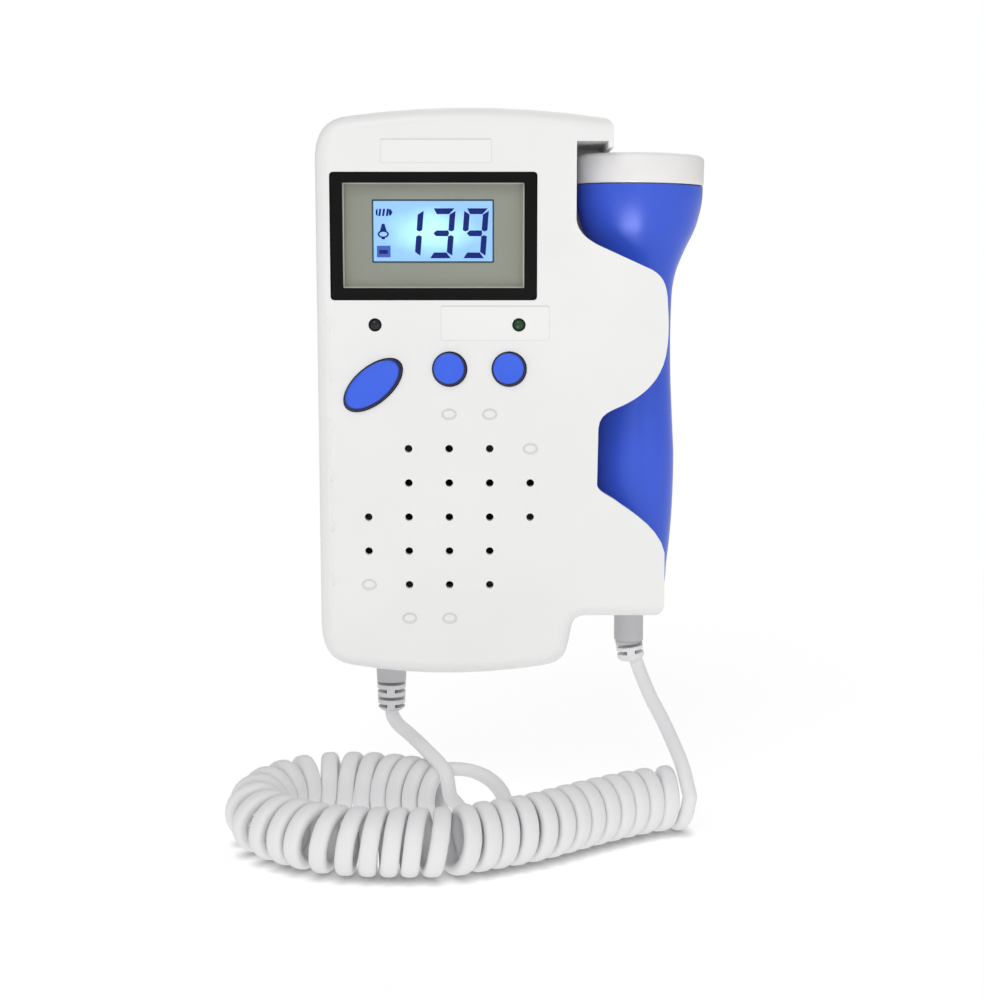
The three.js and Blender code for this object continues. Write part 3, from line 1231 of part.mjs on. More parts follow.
function cords() {
  const { points, spokes, curls } = coilWire();
  const last = points.length - 1;
  const startRun = new THREE.Vector3().subVectors(points[0], points[1]).normalize();
  const endRun = new THREE.Vector3().subVectors(points[last], points[last - 1]).normalize();
  points.unshift(points[0].clone().addScaledVector(startRun, CORD_DIAMETER));
  spokes.unshift(spokes[0].clone());
  points.push(points[last + 1].clone().addScaledVector(endRun, CORD_DIAMETER));
  spokes.push(spokes[last + 1].clone());
  console.log(`curls ${curls}, least gap of the coil to itself ${leastGap(points).toFixed(2)} mm`);
  add('cord_coil', tubeOnSpokes(points, spokes, CORD_DIAMETER / 2, CURL_SIDES), CORD_PVC);

  const meet = (point, run, gap) => point.clone().addScaledVector(run, gap);
  const probeTail = PROBE_TAIL_ROUTE.map((place) => new THREE.Vector3(...place));
  probeTail.push(meet(points[0], startRun, CORD_DIAMETER / 2), meet(points[0], startRun, FIT_GAP));
  add('cord_probe_tail', tailTube(probeTail), CORD_PVC);
  const unitTail = UNIT_TAIL_ROUTE.map((place) => new THREE.Vector3(...place));
  const end = points[points.length - 1];
  unitTail.push(meet(end, endRun, CORD_DIAMETER / 2), meet(end, endRun, FIT_GAP));
  add('cord_unit_tail', tailTube(unitTail), CORD_PVC);
}

// Assembly

add('front_shell', frontShell(), WHITE_ABS);
add('rear_shell', rearShell(), WHITE_ABS);
add('battery_cover', batteryCover(), WHITE_ABS);
displayStack();
add('main_board', mainBoard(), BOARD_GREEN);
for (const [name, place] of Object.entries(LED_PLACES)) {
  add(name, led(place), name === 'power_led' ? LED_DARK : LED_GREEN);
}
add('power_button', powerButton(), BLUE_ABS);
add('power_switch', tactSwitch(POWER_BUTTON_PLACE), SWITCH_BLACK);
for (const [name, place] of Object.entries(ROUND_BUTTON_PLACES)) {
  add(`${name}_button`, roundButton(place), BLUE_ABS);
  add(`${name}_switch`, tactSwitch(place), SWITCH_BLACK);
}
speaker();

const CELL_X = CELL_RADIUS + CELL_SPACING / 2;
add('battery_cell_left', cell(-CELL_X, true), CELL_WRAP);
add('battery_cell_right', cell(CELL_X, false), CELL_WRAP);
add('battery_bridge_contact', plateContact(BAY_TOP_Z - FIT_GAP - CONTACT_THICKNESS, BAY_TOP_Z - FIT_GAP), STEEL);
add('battery_spring_left', springContact(-CELL_X, BAY_BOTTOM_Z + FIT_GAP, 1), STEEL);
add('battery_spring_right', springContact(CELL_X, BAY_BOTTOM_Z + FIT_GAP, 1), STEEL);

CASE_SCREW_PLACES.forEach((place, i) => {
  const headY = COUNTERBORE_FLOOR_Y + FIT_GAP;
  add(`case_screw_${i + 1}`, screw(
    place, headY, CASE_SCREW_RADIUS, SCREW_HEAD_RADIUS, SCREW_HEAD_HEIGHT, SCREW_DEPTH + SCREW_HEAD_HEIGHT,
  ), STEEL);
});
BOARD_SCREW_PLACES.forEach((place, i) => {
  const headY = BOARD_BACK_Y + FIT_GAP;
  add(`board_screw_${i + 1}`, screw(
    place, headY, BOARD_SCREW_RADIUS, BOARD_SCREW_HEAD_RADIUS, BOARD_SCREW_HEAD_HEIGHT, BOARD_SCREW_DEPTH,
  ), STEEL);
});
add('unit_strain_relief', unitRelief(), RELIEF_PVC);
probeShells();
probeHead();
probeInsides();
cords();

export default model;
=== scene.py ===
"""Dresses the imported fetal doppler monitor: housing, display, buttons, probe, cord and a plain studio.

Lengths are metres, or millimetres where a comment says so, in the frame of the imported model: the origin
is the centre of the unit's flat back, +Z is up, -Y is the face with the display and +X is the side with
the probe.
"""

import math

import bmesh
import bpy
from mathutils import Matrix, Vector


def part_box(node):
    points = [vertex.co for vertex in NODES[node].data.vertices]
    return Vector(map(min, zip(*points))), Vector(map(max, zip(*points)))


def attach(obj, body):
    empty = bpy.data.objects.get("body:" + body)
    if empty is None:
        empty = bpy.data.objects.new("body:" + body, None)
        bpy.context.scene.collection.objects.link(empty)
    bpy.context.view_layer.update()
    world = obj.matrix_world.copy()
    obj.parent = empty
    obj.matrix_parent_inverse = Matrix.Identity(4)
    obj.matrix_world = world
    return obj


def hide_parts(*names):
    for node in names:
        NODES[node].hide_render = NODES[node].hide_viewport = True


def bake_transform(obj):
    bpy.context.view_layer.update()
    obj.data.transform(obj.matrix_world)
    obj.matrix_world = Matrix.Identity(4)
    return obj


bl_info = {
    "name": "Fetal Doppler Monitor",
    "version": (1, 0, 0),
    "blender": (4, 5, 0),
    "location": "3D View > Sidebar > Doppler",
    "description": "Builds the looks of a handheld fetal doppler monitor around its packed frame",
    "category": "Object",
}

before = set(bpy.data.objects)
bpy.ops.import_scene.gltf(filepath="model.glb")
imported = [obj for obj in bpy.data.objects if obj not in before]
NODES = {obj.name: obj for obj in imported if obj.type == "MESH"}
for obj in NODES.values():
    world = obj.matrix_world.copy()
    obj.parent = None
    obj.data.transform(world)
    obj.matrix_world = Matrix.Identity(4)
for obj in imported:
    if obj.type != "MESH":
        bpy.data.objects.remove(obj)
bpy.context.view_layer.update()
MM = 0.001
FRONT_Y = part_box("lcd_bezel")[0].y


# Settings that a user would change


def colour_setting(label, note, hex_text):
    """A colour as sRGB hex text, the way a designer writes it down."""
    return bpy.props.StringProperty(name=label, description=note, default=hex_text)


def length_setting(label, note, millimetres, highest=0.2):
    """A length with its unit shown in the panel."""
    return bpy.props.FloatProperty(
        name=label, description=note, default=millimetres * MM, min=0.0, max=highest,
        subtype="DISTANCE", unit="LENGTH", precision=5,
    )


def count_setting(label, note, count, lowest, highest):
    """A whole number of steps or sides."""
    return bpy.props.IntProperty(
        name=label, description=note, default=count, min=lowest, max=highest
    )


class DopplerHousingSettings(bpy.types.PropertyGroup):
    """Sizes and colours of the unit's shells."""

    shell_colour: colour_setting("Shell", "White of the moulded shells", "EBEBEA")
    shell_edge: length_setting("Shell edge", "Round on the shells' sharp edges", 0.45)
    grain: length_setting("Grain", "Size of the fine texture of the moulded plastic", 0.35)
    plate_colour: colour_setting("Plate", "Tint of the bare plates", "ECECEB")
    # Painted shade: the slope inside the blind marks is coloured darker than the shell.
    mark_shade_colour: colour_setting("Blind marks", "Slope inside the blind marks", "D9D9D8")
    # Painted shade: the grey that the unit's strain relief turns to on its collar.
    relief_collar_shade: colour_setting("Strain relief", "Collar of the unit's strain relief", "BEBEC1")


class DopplerDisplaySettings(bpy.types.PropertyGroup):
    """Sizes, colours and the reading of the display."""

    frame_colour: colour_setting("Frame", "Black frame of the display", "0B0B0A")
    glass_colour: colour_setting("Glass", "Grey glass round the lit area", "A0A092")
    lit_colour: colour_setting("Lit area", "Pale blue lit area", "BDF3FD")
    ink_colour: colour_setting("Segments", "Dark blue of a segment that is on", "12277C")
    reading: bpy.props.StringProperty(
        name="Reading", description="Beats a minute on the display", default="139"
    )
    segment: length_setting("Segment", "Width of one segment", 1.35)


class DopplerButtonSettings(bpy.types.PropertyGroup):
    """Colours of the buttons and lamps."""

    button_colour: colour_setting("Button", "Blue of the buttons", "3762E6")
    # Painted shade: a key's face darkens to this colour towards its edge, where the gap shades it.
    rim_shade_colour: colour_setting("Rim", "Dark rim in the gap round a button", "0A1240")
    power_lamp: colour_setting("Power lamp", "Tinted lens that is off", "121017")
    signal_lamp: colour_setting("Signal lamp", "Green tinted lens", "10361B")


class DopplerProbeSettings(bpy.types.PropertyGroup):
    """Colours and steps of the ultrasound probe."""

    body_colour: colour_setting("Body", "Blue of the probe's shells", "3A5CD6")
    face_colour: colour_setting("Face", "Pale face that touches the skin", "ECEAE9")
    spin_steps: count_setting("Spin steps", "Steps round the probe", 96, 24, 256)


class DopplerCordSettings(bpy.types.PropertyGroup):
    """Sizes and colour of the curly cord."""

    colour: colour_setting("Cord", "Soft pale sheath", "E8E8E9")
    diameter: length_setting("Diameter", "Thickness of the cord", 3.5)
    coil_radius: length_setting("Curl radius", "From the coil's axis to the wire's centre", 6.25)
    curl_width: length_setting("Curl width", "Width of the flattened cord along the coil", 4.15)
    curl_thickness: length_setting("Curl thickness", "Depth of the flattened cord", 3.15)
    curl_steps: count_setting("Curl steps", "Points along one curl", 28, 12, 48)
    sides: count_setting("Sides", "Sides round the cord", 16, 6, 24)


class DopplerStageSettings(bpy.types.PropertyGroup):
    """Floor, light and camera."""

    backdrop: colour_setting("Backdrop", "White behind the unit", "FFFFFF")
    floor_depth: length_setting("Floor depth", "How far the floor lies below the origin", 105, 1)
    camera_distance: length_setting("Camera distance", "From the back face to the lens", 435, 5)
    pitch: bpy.props.FloatProperty(
        name="Pitch", description="How far the camera looks down", default=math.radians(8.0),
        subtype="ANGLE", unit="ROTATION",
    )


def settings(name):
    """One group of settings of the scene."""
    return getattr(bpy.context.scene, name)


# Materials


def linear(hex_text):
    """An sRGB hex colour as the linear colour that a shader takes."""
    values = []
    for place in (0, 2, 4):
        channel = int(hex_text[place : place + 2], 16) / 255
        if channel <= 0.04045:
            values.append(channel / 12.92)
        else:
            values.append(((channel + 0.055) / 1.055) ** 2.4)
    return (*values, 1.0)


def tint(hex_text, amount):
    """The same colour, a little lighter or darker."""
    return tuple(min(1.0, value * (1 + amount)) for value in linear(hex_text)[:3]) + (1.0,)


def put(tree, kind, sockets=None, links=None, stops=(), **fields):
    """Adds a node, sets its fields, sockets and colour stops, and links sockets from other nodes.

    A link is another node, for its first output, or one of its outputs.
    """
    made = tree.nodes.new(kind)
    for field, value in fields.items():
        setattr(made, field, value)
    for socket, value in (sockets or {}).items():
        made.inputs[socket].default_value = value
    for socket, source in (links or {}).items():
        output = source.outputs[0] if isinstance(source, bpy.types.Node) else source
        tree.links.new(output, made.inputs[socket])
    for index, (position, colour) in enumerate(stops):
        made.color_ramp.elements[index].position = position
        made.color_ramp.elements[index].color = colour
    return made


def start_material(name):
    """An empty node material, with the object's own coordinates."""
    material = bpy.data.materials.new(name)
    material.use_nodes = True
    tree = material.node_tree
    tree.nodes.clear()
    return material, tree, put(tree, "ShaderNodeTexCoord").outputs["Object"]


# Most values of a noise lie between these two
NOISE_LOW, NOISE_HIGH = 0.3, 0.7
NOISE_MIDDLE = {"From Min": NOISE_LOW, "From Max": NOISE_HIGH}
# Widths of the patterns: flow clouds in a moulded wall, smears on a window, uneven light in a lit
# cell, and haze in a lamp's lens and on a battery's sleeve
FLOW_CLOUD = 22.2 * MM
WINDOW_SMEAR = 16.7 * MM
CELL_CLOUD = 3.85 * MM
LENS_HAZE = 1.11 * MM
SLEEVE_HAZE = 2 * MM
FINEST_GRAIN = 0.01 * MM
# Shares that the light's clouds and the haze have in the colour of a lit cell and of a lamp's lens
CELL_CLOUD_SHARE = 0.35
LENS_HAZE_SHARE = 0.3
# Shares of the stated roughness that a surface varies between
PLASTIC_GLOSS = (0.9, 1.12)
METAL_GLOSS = (0.7, 1.3)
# Depth of a pattern's relief, as a share of its grain
PLASTIC_DEPTH, METAL_DEPTH, SPECK_DEPTH = 0.2, 0.1, 0.3
METAL_BUMP = 0.15
ABS_IOR = 1.53
PVC_IOR = 1.52
EPOXY_IOR = 1.54
# Acrylic has 1.49, and a lower one keeps the window as clear as it looks on the object
WINDOW_IOR = 1.2
# Painted shade darkens a key's edge from the first distance inside its outline to the second, a little off
# centre
RIM_SHADE_START, RIM_SHADE_END = 0.5 * MM, 0.2 * MM
RIM_SHADE_OFFSET = Vector((-0.2, 0, 0.2)) * MM
# The painted shade follows the key's face alone, so this scale takes the depth out of it
ANY_DEPTH = 1e6
# How far from a rib's foot painted shade darkens the slots of a strain relief
SLOT_SHADE_REACH = 0.8 * MM
# Height of the top of the pale band on a battery's sleeve, and how soft the turn of its colour is
BAND_TOP = -47.5 * MM
BAND_LINE = 0.5 * MM


def moulded_plastic(
    name, hex_text, roughness, grain, bump, cloud=0.015, ior=ABS_IOR, shine=0.5, rim=None, collar_shade=None
):
    """Injection-moulded plastic: even colour, faint flow clouds and a fine spark-eroded grain.

    A rim and a collar shade hold what painted_rim_shade and painted_collar_shade take after the colour, to
    paint shade on a key's edge and on a strain relief.
    """
    material, tree, place = start_material(name)
    smoother, rougher = (roughness * share for share in PLASTIC_GLOSS)
    flow = put(tree, "ShaderNodeTexNoise", {"Scale": 1 / FLOW_CLOUD, "Detail": 3.0}, {"Vector": place})
    grains = 1 / max(grain, FINEST_GRAIN)
    fine = put(tree, "ShaderNodeTexNoise", {"Scale": grains, "Detail": 2.0}, {"Vector": place})
    stops = ((NOISE_LOW, tint(hex_text, -cloud)), (NOISE_HIGH, tint(hex_text, cloud)))
    colour = put(tree, "ShaderNodeValToRGB", links={"Fac": flow}, stops=stops)
    gloss = put(
        tree,
        "ShaderNodeMapRange",
        {**NOISE_MIDDLE, "To Min": smoother, "To Max": rougher},
        {"Value": flow},
    )
    depth = grain * PLASTIC_DEPTH
    relief = put(tree, "ShaderNodeBump", {"Strength": bump, "Distance": depth}, {"Height": fine})
    if rim:
        colour = painted_rim_shade(tree, place, colour, *rim)
    if collar_shade:
        colour = painted_collar_shade(tree, place, colour, *collar_shade)
    shader = put(
        tree,
        "ShaderNodeBsdfPrincipled",
        {"IOR": ior, "Specular IOR Level": shine},
        {"Base Color": colour, "Roughness": gloss, "Normal": relief},
    )
    put(tree, "ShaderNodeOutputMaterial", links={"Surface": shader})
    return material


def painted_rim_shade(tree, place, colour, rim_shade_hex, centre, half_length, half_width, turn):
    """Paints shade on a key towards its edge, where it turns down into the gap, most at the lower right.
    """
    laid = put(
        tree,
        "ShaderNodeMapping",
        {
            "Location": centre + RIM_SHADE_OFFSET,
            "Rotation": (0.0, -turn, 0.0),
            "Scale": (half_length, ANY_DEPTH, half_width),
        },
        {"Vector": place},
        vector_type="TEXTURE",
    )
    away = put(tree, "ShaderNodeVectorMath", links={0: laid}, operation="LENGTH")
    start, end = 1 - RIM_SHADE_START / half_width, 1 - RIM_SHADE_END / half_width
    edge = put(
        tree,
        "ShaderNodeMapRange",
        {"From Min": start, "From Max": end},
        {"Value": away.outputs["Value"]},
    )
    return put(
        tree, "ShaderNodeMixRGB", {"Color2": linear(rim_shade_hex)}, {"Fac": edge, "Color1": colour}
    )


def painted_collar_shade(tree, place, colour, collar_shade_hex, low, high):
    """Paints shade on a strain relief: turns its ribs to the grey of its collar above a height, and
    darkens its slots.
    """
    split = put(tree, "ShaderNodeSeparateXYZ", links={0: place})
    height = put(
        tree,
        "ShaderNodeMapRange",
        {"From Min": low, "From Max": high},
        {"Value": split.outputs["Z"]},
    )
    mixed = put(
        tree, "ShaderNodeMixRGB", {"Color2": linear(collar_shade_hex)}, {"Fac": height, "Color1": colour}
    )
    return put(
        tree, "ShaderNodeAmbientOcclusion", {"Distance": SLOT_SHADE_REACH}, {"Color": mixed}, samples=8
    )


def plated_metal(name, hex_text, roughness, grain):
    """Plated or drawn metal: a full metal whose gloss varies in fine streaks."""
    material, tree, place = start_material(name)
    smoother, rougher = (roughness * share for share in METAL_GLOSS)
    streak = put(tree, "ShaderNodeTexNoise", {"Scale": 1 / grain, "Detail": 4.0}, {"Vector": place})
    gloss = put(
        tree,
        "ShaderNodeMapRange",
        {**NOISE_MIDDLE, "To Min": smoother, "To Max": rougher},
        {"Value": streak},
    )
    depth = grain * METAL_DEPTH
    relief = put(
        tree, "ShaderNodeBump", {"Strength": METAL_BUMP, "Distance": depth}, {"Height": streak}
    )
    shader = put(
        tree,
        "ShaderNodeBsdfPrincipled",
        {"Base Color": linear(hex_text), "Metallic": 1.0},
        {"Roughness": gloss, "Normal": relief},
    )
    put(tree, "ShaderNodeOutputMaterial", links={"Surface": shader})
    return material


def speckled(name, first, second, grain, roughness, bump):
    """Matte material with two colours in a fine speckle: foam, paper, board, sintered ceramic."""
    material, tree, place = start_material(name)
    speck = put(tree, "ShaderNodeTexNoise", {"Scale": 1 / grain, "Detail": 5.0}, {"Vector": place})
    stops = ((0.4, linear(first)), (0.6, linear(second)))
    colour = put(tree, "ShaderNodeValToRGB", links={"Fac": speck}, stops=stops)
    depth = grain * SPECK_DEPTH
    relief = put(tree, "ShaderNodeBump", {"Strength": bump, "Distance": depth}, {"Height": speck})
    shader = put(
        tree,
        "ShaderNodeBsdfPrincipled",
        {"Roughness": roughness},
        {"Base Color": colour, "Normal": relief},
    )
    put(tree, "ShaderNodeOutputMaterial", links={"Surface": shader})
    return material


def clear_window():
    """Clear acrylic: the light passes straight through, with a faint gloss on its face."""
    material, tree, place = start_material("clear_acrylic")
    smear = put(tree, "ShaderNodeTexNoise", {"Scale": 1 / WINDOW_SMEAR, "Detail": 2.0}, {"Vector": place})
    gloss = put(
        tree,
        "ShaderNodeMapRange",
        {"From Min": 0.35, "From Max": 0.65, "To Min": 0.03, "To Max": 0.07},
        {"Value": smear},
    )
    clear = put(tree, "ShaderNodeBsdfTransparent", {"Color": linear("FCFDFD")})
    shine = put(tree, "ShaderNodeBsdfGlossy", {"Color": linear("FFFFFF")}, {"Roughness": gloss})
    edge = put(tree, "ShaderNodeFresnel", {"IOR": WINDOW_IOR})
    mix = put(tree, "ShaderNodeMixShader", links={0: edge, 1: clear, 2: shine})
    put(tree, "ShaderNodeOutputMaterial", links={"Surface": mix})
    return material


def lit_cell(name, hex_text, edge_hex, strength, area):
    """Backlit liquid crystal cell: cyan in the middle, bluer towards its edges."""
    x0, x1, z0, z1 = (value * MM for value in area)
    half_width, half_height = (x1 - x0) / 2, (z1 - z0) / 2
    material, tree, place = start_material(name)
    laid = put(
        tree,
        "ShaderNodeMapping",
        {
            "Location": (-(x0 + x1) / 2 / half_width, 0.0, -(z0 + z1) / 2 / half_height),
            "Scale": (1 / half_width, 0.0, 1 / half_height),
        },
        {"Vector": place},
    )
    away = put(tree, "ShaderNodeVectorMath", links={0: laid}, operation="LENGTH")
    cloud = put(tree, "ShaderNodeTexNoise", {"Scale": 1 / CELL_CLOUD, "Detail": 2.0}, {"Vector": place})
    patchy = put(
        tree,
        "ShaderNodeMath",
        {1: CELL_CLOUD_SHARE},
        {0: cloud, 2: away.outputs["Value"]},
        operation="MULTIPLY_ADD",
    )
    stops = ((0.35, linear(hex_text)), (1.0, linear(edge_hex)))
    colour = put(tree, "ShaderNodeValToRGB", links={"Fac": patchy}, stops=stops)
    shader = put(
        tree,
        "ShaderNodeBsdfPrincipled",
        {"Roughness": 0.35, "Emission Strength": strength},
        {"Base Color": colour, "Emission Color": colour},
    )
    put(tree, "ShaderNodeOutputMaterial", links={"Surface": shader})
    return material


def tinted_lens(name, hex_text):
    """Tinted epoxy lamp lens: glossy, darker in its depth."""
    material, tree, place = start_material(name)
    depth = put(tree, "ShaderNodeLayerWeight", {"Blend": 0.35})
    haze = put(tree, "ShaderNodeTexNoise", {"Scale": 1 / LENS_HAZE}, {"Vector": place})
    blend = put(
        tree,
        "ShaderNodeMath",
        {1: LENS_HAZE_SHARE},
        {0: haze, 2: depth.outputs["Facing"]},
        operation="MULTIPLY_ADD",
    )
    stops = ((0.1, tint(hex_text, 0.9)), (0.8, tint(hex_text, -0.5)))
    colour = put(tree, "ShaderNodeValToRGB", links={"Fac": blend}, stops=stops)
    shader = put(
        tree,
        "ShaderNodeBsdfPrincipled",
        {"Roughness": 0.12, "IOR": EPOXY_IOR, "Specular IOR Level": 0.35},
        {"Base Color": colour},
    )
    put(tree, "ShaderNodeOutputMaterial", links={"Surface": shader})
    return material


def battery_sleeve():
    """Shrink sleeve of a cell: a pale band over a dark body, glossy with a faint haze."""
    material, tree, place = start_material("pvc_shrink_sleeve")
    split = put(tree, "ShaderNodeSeparateXYZ", links={0: place})
    haze = put(tree, "ShaderNodeTexNoise", {"Scale": 1 / SLEEVE_HAZE}, {"Vector": place})
    above = put(
        tree,
        "ShaderNodeMapRange",
        {"From Min": BAND_TOP, "From Max": BAND_TOP + BAND_LINE},
        {"Value": split.outputs["Z"]},
    )
    stops = ((0.45, linear("B98A3C")), (0.55, linear("3C4046")))
    colour = put(tree, "ShaderNodeValToRGB", links={"Fac": above}, stops=stops)
    gloss = put(tree, "ShaderNodeMapRange", {"To Min": 0.22, "To Max": 0.38}, {"Value": haze})
    shader = put(
        tree,
        "ShaderNodeBsdfPrincipled",
        {"Metallic": 0.35},
        {"Base Color": colour, "Roughness": gloss},
    )
    put(tree, "ShaderNodeOutputMaterial", links={"Surface": shader})
    return material


def dress(obj, material):
    """Gives a piece or a CAD node one material."""
    if obj.data.materials:
        for index in range(len(obj.data.materials)):
            obj.data.materials[index] = material
    else:
        obj.data.materials.append(material)


# Shapes shared by the pieces

# Points closer than this are one point
MERGE = 1e-6
# Faces of a CAD node that turn by less than this are one flat face
FLAT_ANGLE = math.radians(0.3)
CORNER_STEPS = 6
OVAL_STEPS = 48


def object_from(shape, name, material, sharp_angle=35.0):
    """Turns a bmesh into an object with smooth shading, apart from edges sharper than an angle."""
    mesh = bpy.data.meshes.new(name)
    shape.to_mesh(mesh)
    shape.free()
    mesh.polygons.foreach_set("use_smooth", [True] * len(mesh.polygons))
    mesh.set_sharp_from_angle(angle=math.radians(sharp_angle))
    mesh.update()
    obj = bpy.data.objects.new(name, mesh)
    bpy.context.scene.collection.objects.link(obj)
    dress(obj, material)
    return obj


def piece_from(shape, name, material, body, sharp_angle=35.0):
    """Turns a bmesh into a finished piece that rides on a body."""
    obj = object_from(shape, name, material, sharp_angle)
    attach(obj, body)
    return obj


def modifier(obj, kind, name, **fields):
    """Adds a modifier with its settings."""
    made = obj.modifiers.new(name, kind)
    for field, value in fields.items():
        setattr(made, field, value)
    return made


def round_edges(obj, width):
    """Rounds the sharp edges of a finished piece, unless the width is zero, and evens its shading."""
    if width:
        modifier(
            obj, "BEVEL", "edge_round", width=width, segments=2, limit_method="ANGLE",
            angle_limit=math.radians(40), harden_normals=True, miter_outer="MITER_ARC",
            use_clamp_overlap=True,
        )
    modifier(obj, "WEIGHTED_NORMAL", "even_shading", keep_sharp=True)


def copy_of_node(node, name, material, body, edge=None, reshape=None):
    """A merged copy of a CAD node, with its flat faces joined up, that replaces the node."""
    shape = bmesh.new()
    shape.from_mesh(NODES[node].data)
    bmesh.ops.remove_doubles(shape, verts=shape.verts, dist=MERGE)
    bmesh.ops.dissolve_limit(shape, angle_limit=FLAT_ANGLE, verts=shape.verts, edges=shape.edges)
    if reshape:
        reshape(shape)
    obj = piece_from(shape, name, material, body)
    if edge is not None:
        round_edges(obj, edge)
    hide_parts(node)
    return obj


def middle_of(node):
    """Centre of a node's box."""
    low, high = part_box(node)
    return (low + high) / 2


def spun(profile, axis_point, axis, steps):
    """A bmesh turned from a profile of points about an axis, closed and facing outwards."""
    shape = bmesh.new()
    points = [shape.verts.new(point) for point in profile]
    edges = [shape.edges.new(pair) for pair in zip(points, points[1:])]
    bmesh.ops.spin(
        shape, geom=points + edges, cent=axis_point, axis=axis, angle=math.tau, steps=steps,
        use_merge=True,
    )
    bmesh.ops.remove_doubles(shape, verts=shape.verts, dist=MERGE)
    bmesh.ops.recalc_face_normals(shape, faces=shape.faces)
    return shape


def thicken(shape, depth):
    """Extrudes all of a flat shape's faces back by a depth and closes it."""
    made = bmesh.ops.extrude_face_region(shape, geom=list(shape.faces))
    moved = [item for item in made["geom"] if isinstance(item, bmesh.types.BMVert)]
    bmesh.ops.translate(shape, verts=moved, vec=(0, depth, 0))
    bmesh.ops.recalc_face_normals(shape, faces=shape.faces)


def flat_plate(corners, y_front, y_back):
    """A flat plate from its outline in X and Z, between two depths."""
    shape = bmesh.new()
    shape.faces.new([shape.verts.new((x, y_front, z)) for x, z in corners])
    thicken(shape, y_back - y_front)
    return shape


def ring_plate(outer, inner, y_front, y_back):
    """A flat ring between two outlines that have as many corners, between two depths."""
    shape = bmesh.new()
    edges = []
    for outline in (outer, inner):
        loop = [shape.verts.new((x, y_front, z)) for x, z in outline]
        edges += [shape.edges.new(pair) for pair in zip(loop, loop[1:] + loop[:1])]
    bmesh.ops.bridge_loops(shape, edges=edges)
    thicken(shape, y_back - y_front)
    return shape


def merge_into(target, other):
    """Adds one bmesh to another and frees it."""
    spare = bpy.data.meshes.new("spare")
    other.to_mesh(spare)
    other.free()
    target.from_mesh(spare)
    bpy.data.meshes.remove(spare)


def cut_with(obj, cutter):
    """Takes a shape out of a piece."""
    mesh = bpy.data.meshes.new("cutter")
    cutter.to_mesh(mesh)
    cutter.free()
    tool = bpy.data.objects.new("cutter", mesh)
    bpy.context.scene.collection.objects.link(tool)
    cut = modifier(obj, "BOOLEAN", "cut", object=tool, operation="DIFFERENCE", solver="EXACT")
    bpy.context.view_layer.update()
    evaluated = obj.evaluated_get(bpy.context.evaluated_depsgraph_get())
    result = bpy.data.meshes.new_from_object(evaluated)
    obj.modifiers.remove(cut)
    old = obj.data
    obj.data = result
    bpy.data.meshes.remove(old)
    bpy.data.objects.remove(tool)
    bpy.data.meshes.remove(mesh)


def grown(area, sides, foot, head):
    """An area, as x from, x to, z from and z to, that reaches further on its sides, foot and head."""
    x0, x1, z0, z1 = area
    return x0 - sides, x1 + sides, z0 - foot, z1 + head


def inset(area, by):
    """An area that reaches less far, by the same on all its sides."""
    return grown(area, -by, -by, -by)


def rounded_corners(area, radius):
    """Outline of an area with round corners, in metres, from millimetres."""
    x0, x1, z0, z1 = area
    outline = []
    for cx, cz, turn in (
        (x1 - radius, z1 - radius, 0),
        (x0 + radius, z1 - radius, 90),
        (x0 + radius, z0 + radius, 180),
        (x1 - radius, z0 + radius, 270),
    ):
        for step in range(CORNER_STEPS + 1):
            angle = math.radians(turn + 90 * step / CORNER_STEPS)
            x, z = cx + radius * math.cos(angle), cz + radius * math.sin(angle)
            outline.append((x * MM, z * MM))
    return outline


def oval(centre, half_width, half_height):
    """Outline of an ellipse in X and Z, in metres, from millimetres."""
    angles = [math.tau * step / OVAL_STEPS for step in range(OVAL_STEPS)]
    return [
        ((centre[0] + half_width * math.cos(t)) * MM, (centre[1] + half_height * math.sin(t)) * MM)
        for t in angles
    ]


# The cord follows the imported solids, with its two plain ends up to 1.5 mm beside them, as in the photo

# The last curl, at the unit's end, is loose: how far it swings out along the coil, how much further
# along it ends, and how many curls that takes
LOOSE_REACH = 11.5 * MM
LOOSE_RUN = 3.5 * MM
LOOSE_CURLS = 0.8
# Distance between two curls: on a straight stretch, and the least one on the inside of a bend
CURL_PITCH = 4.6 * MM
BEND_PITCH = 4.15 * MM
# The pitch is worked out at this many places, each from the bend within this share of the length
COIL_SAMPLES = 760
BEND_REACH = 0.02
# How far the section of a curl goes from an ellipse, at 0, towards a rectangle, at 1
CURL_SQUARENESS = 0.25
# Points between two places of the coil's axis and of a tail
AXIS_STEPS = 24
TAIL_STEPS = 8
# How far a tail runs on in the direction of the curls, in cord diameters
RUN_ON = 0.6
# Places in millimetres of the coil's axis, with its height, from the probe's end, and of both tails
COIL_HEIGHT = -97
COIL_ROUTE = [
    (56.8, -40.8), (51.5, -42), (43.7, -46), (32.6, -53.7), (20.4, -62.9), (9.8, -68.5),
    (0.8, -72.5), (-9.7, -73), (-20.5, -72.2), (-27.4, -70.2), (-33, -66.9), (-38.6, -62.6),
    (-42.8, -57.4), (-44.5, -51.2), (-44, -44.7), (-41.6, -38.8), (-37.4, -34), (-32.6, -31),
    (-27.1, -29.7), (-17.1, -30.4), (-8.5, -33.5), (2, -38.6),
]
PROBE_TAIL_ROUTE = [
    (47.6, -17.5, -68), (48.2, -17.6, -69.8), (49.4, -19.6, -72.9), (51, -24, -76.5),
    (53.3, -30, -80.4), (55.3, -36.2, -84.4), (57.1, -42.4, -88.7), (58, -46, -92.6),
]
UNIT_TAIL_ROUTE = [
    (-14.65, -17.5, -81.4), (-14.4, -17.8, -82.9), (-13, -20, -84.4), (-9.9, -25, -85.6),
    (-5.3, -35, -86.8), (-0.3, -42.4, -90.3),
]


def in_metres(places):
    """Places written in millimetres, as points in metres."""
    return [Vector(place) * MM for place in places]


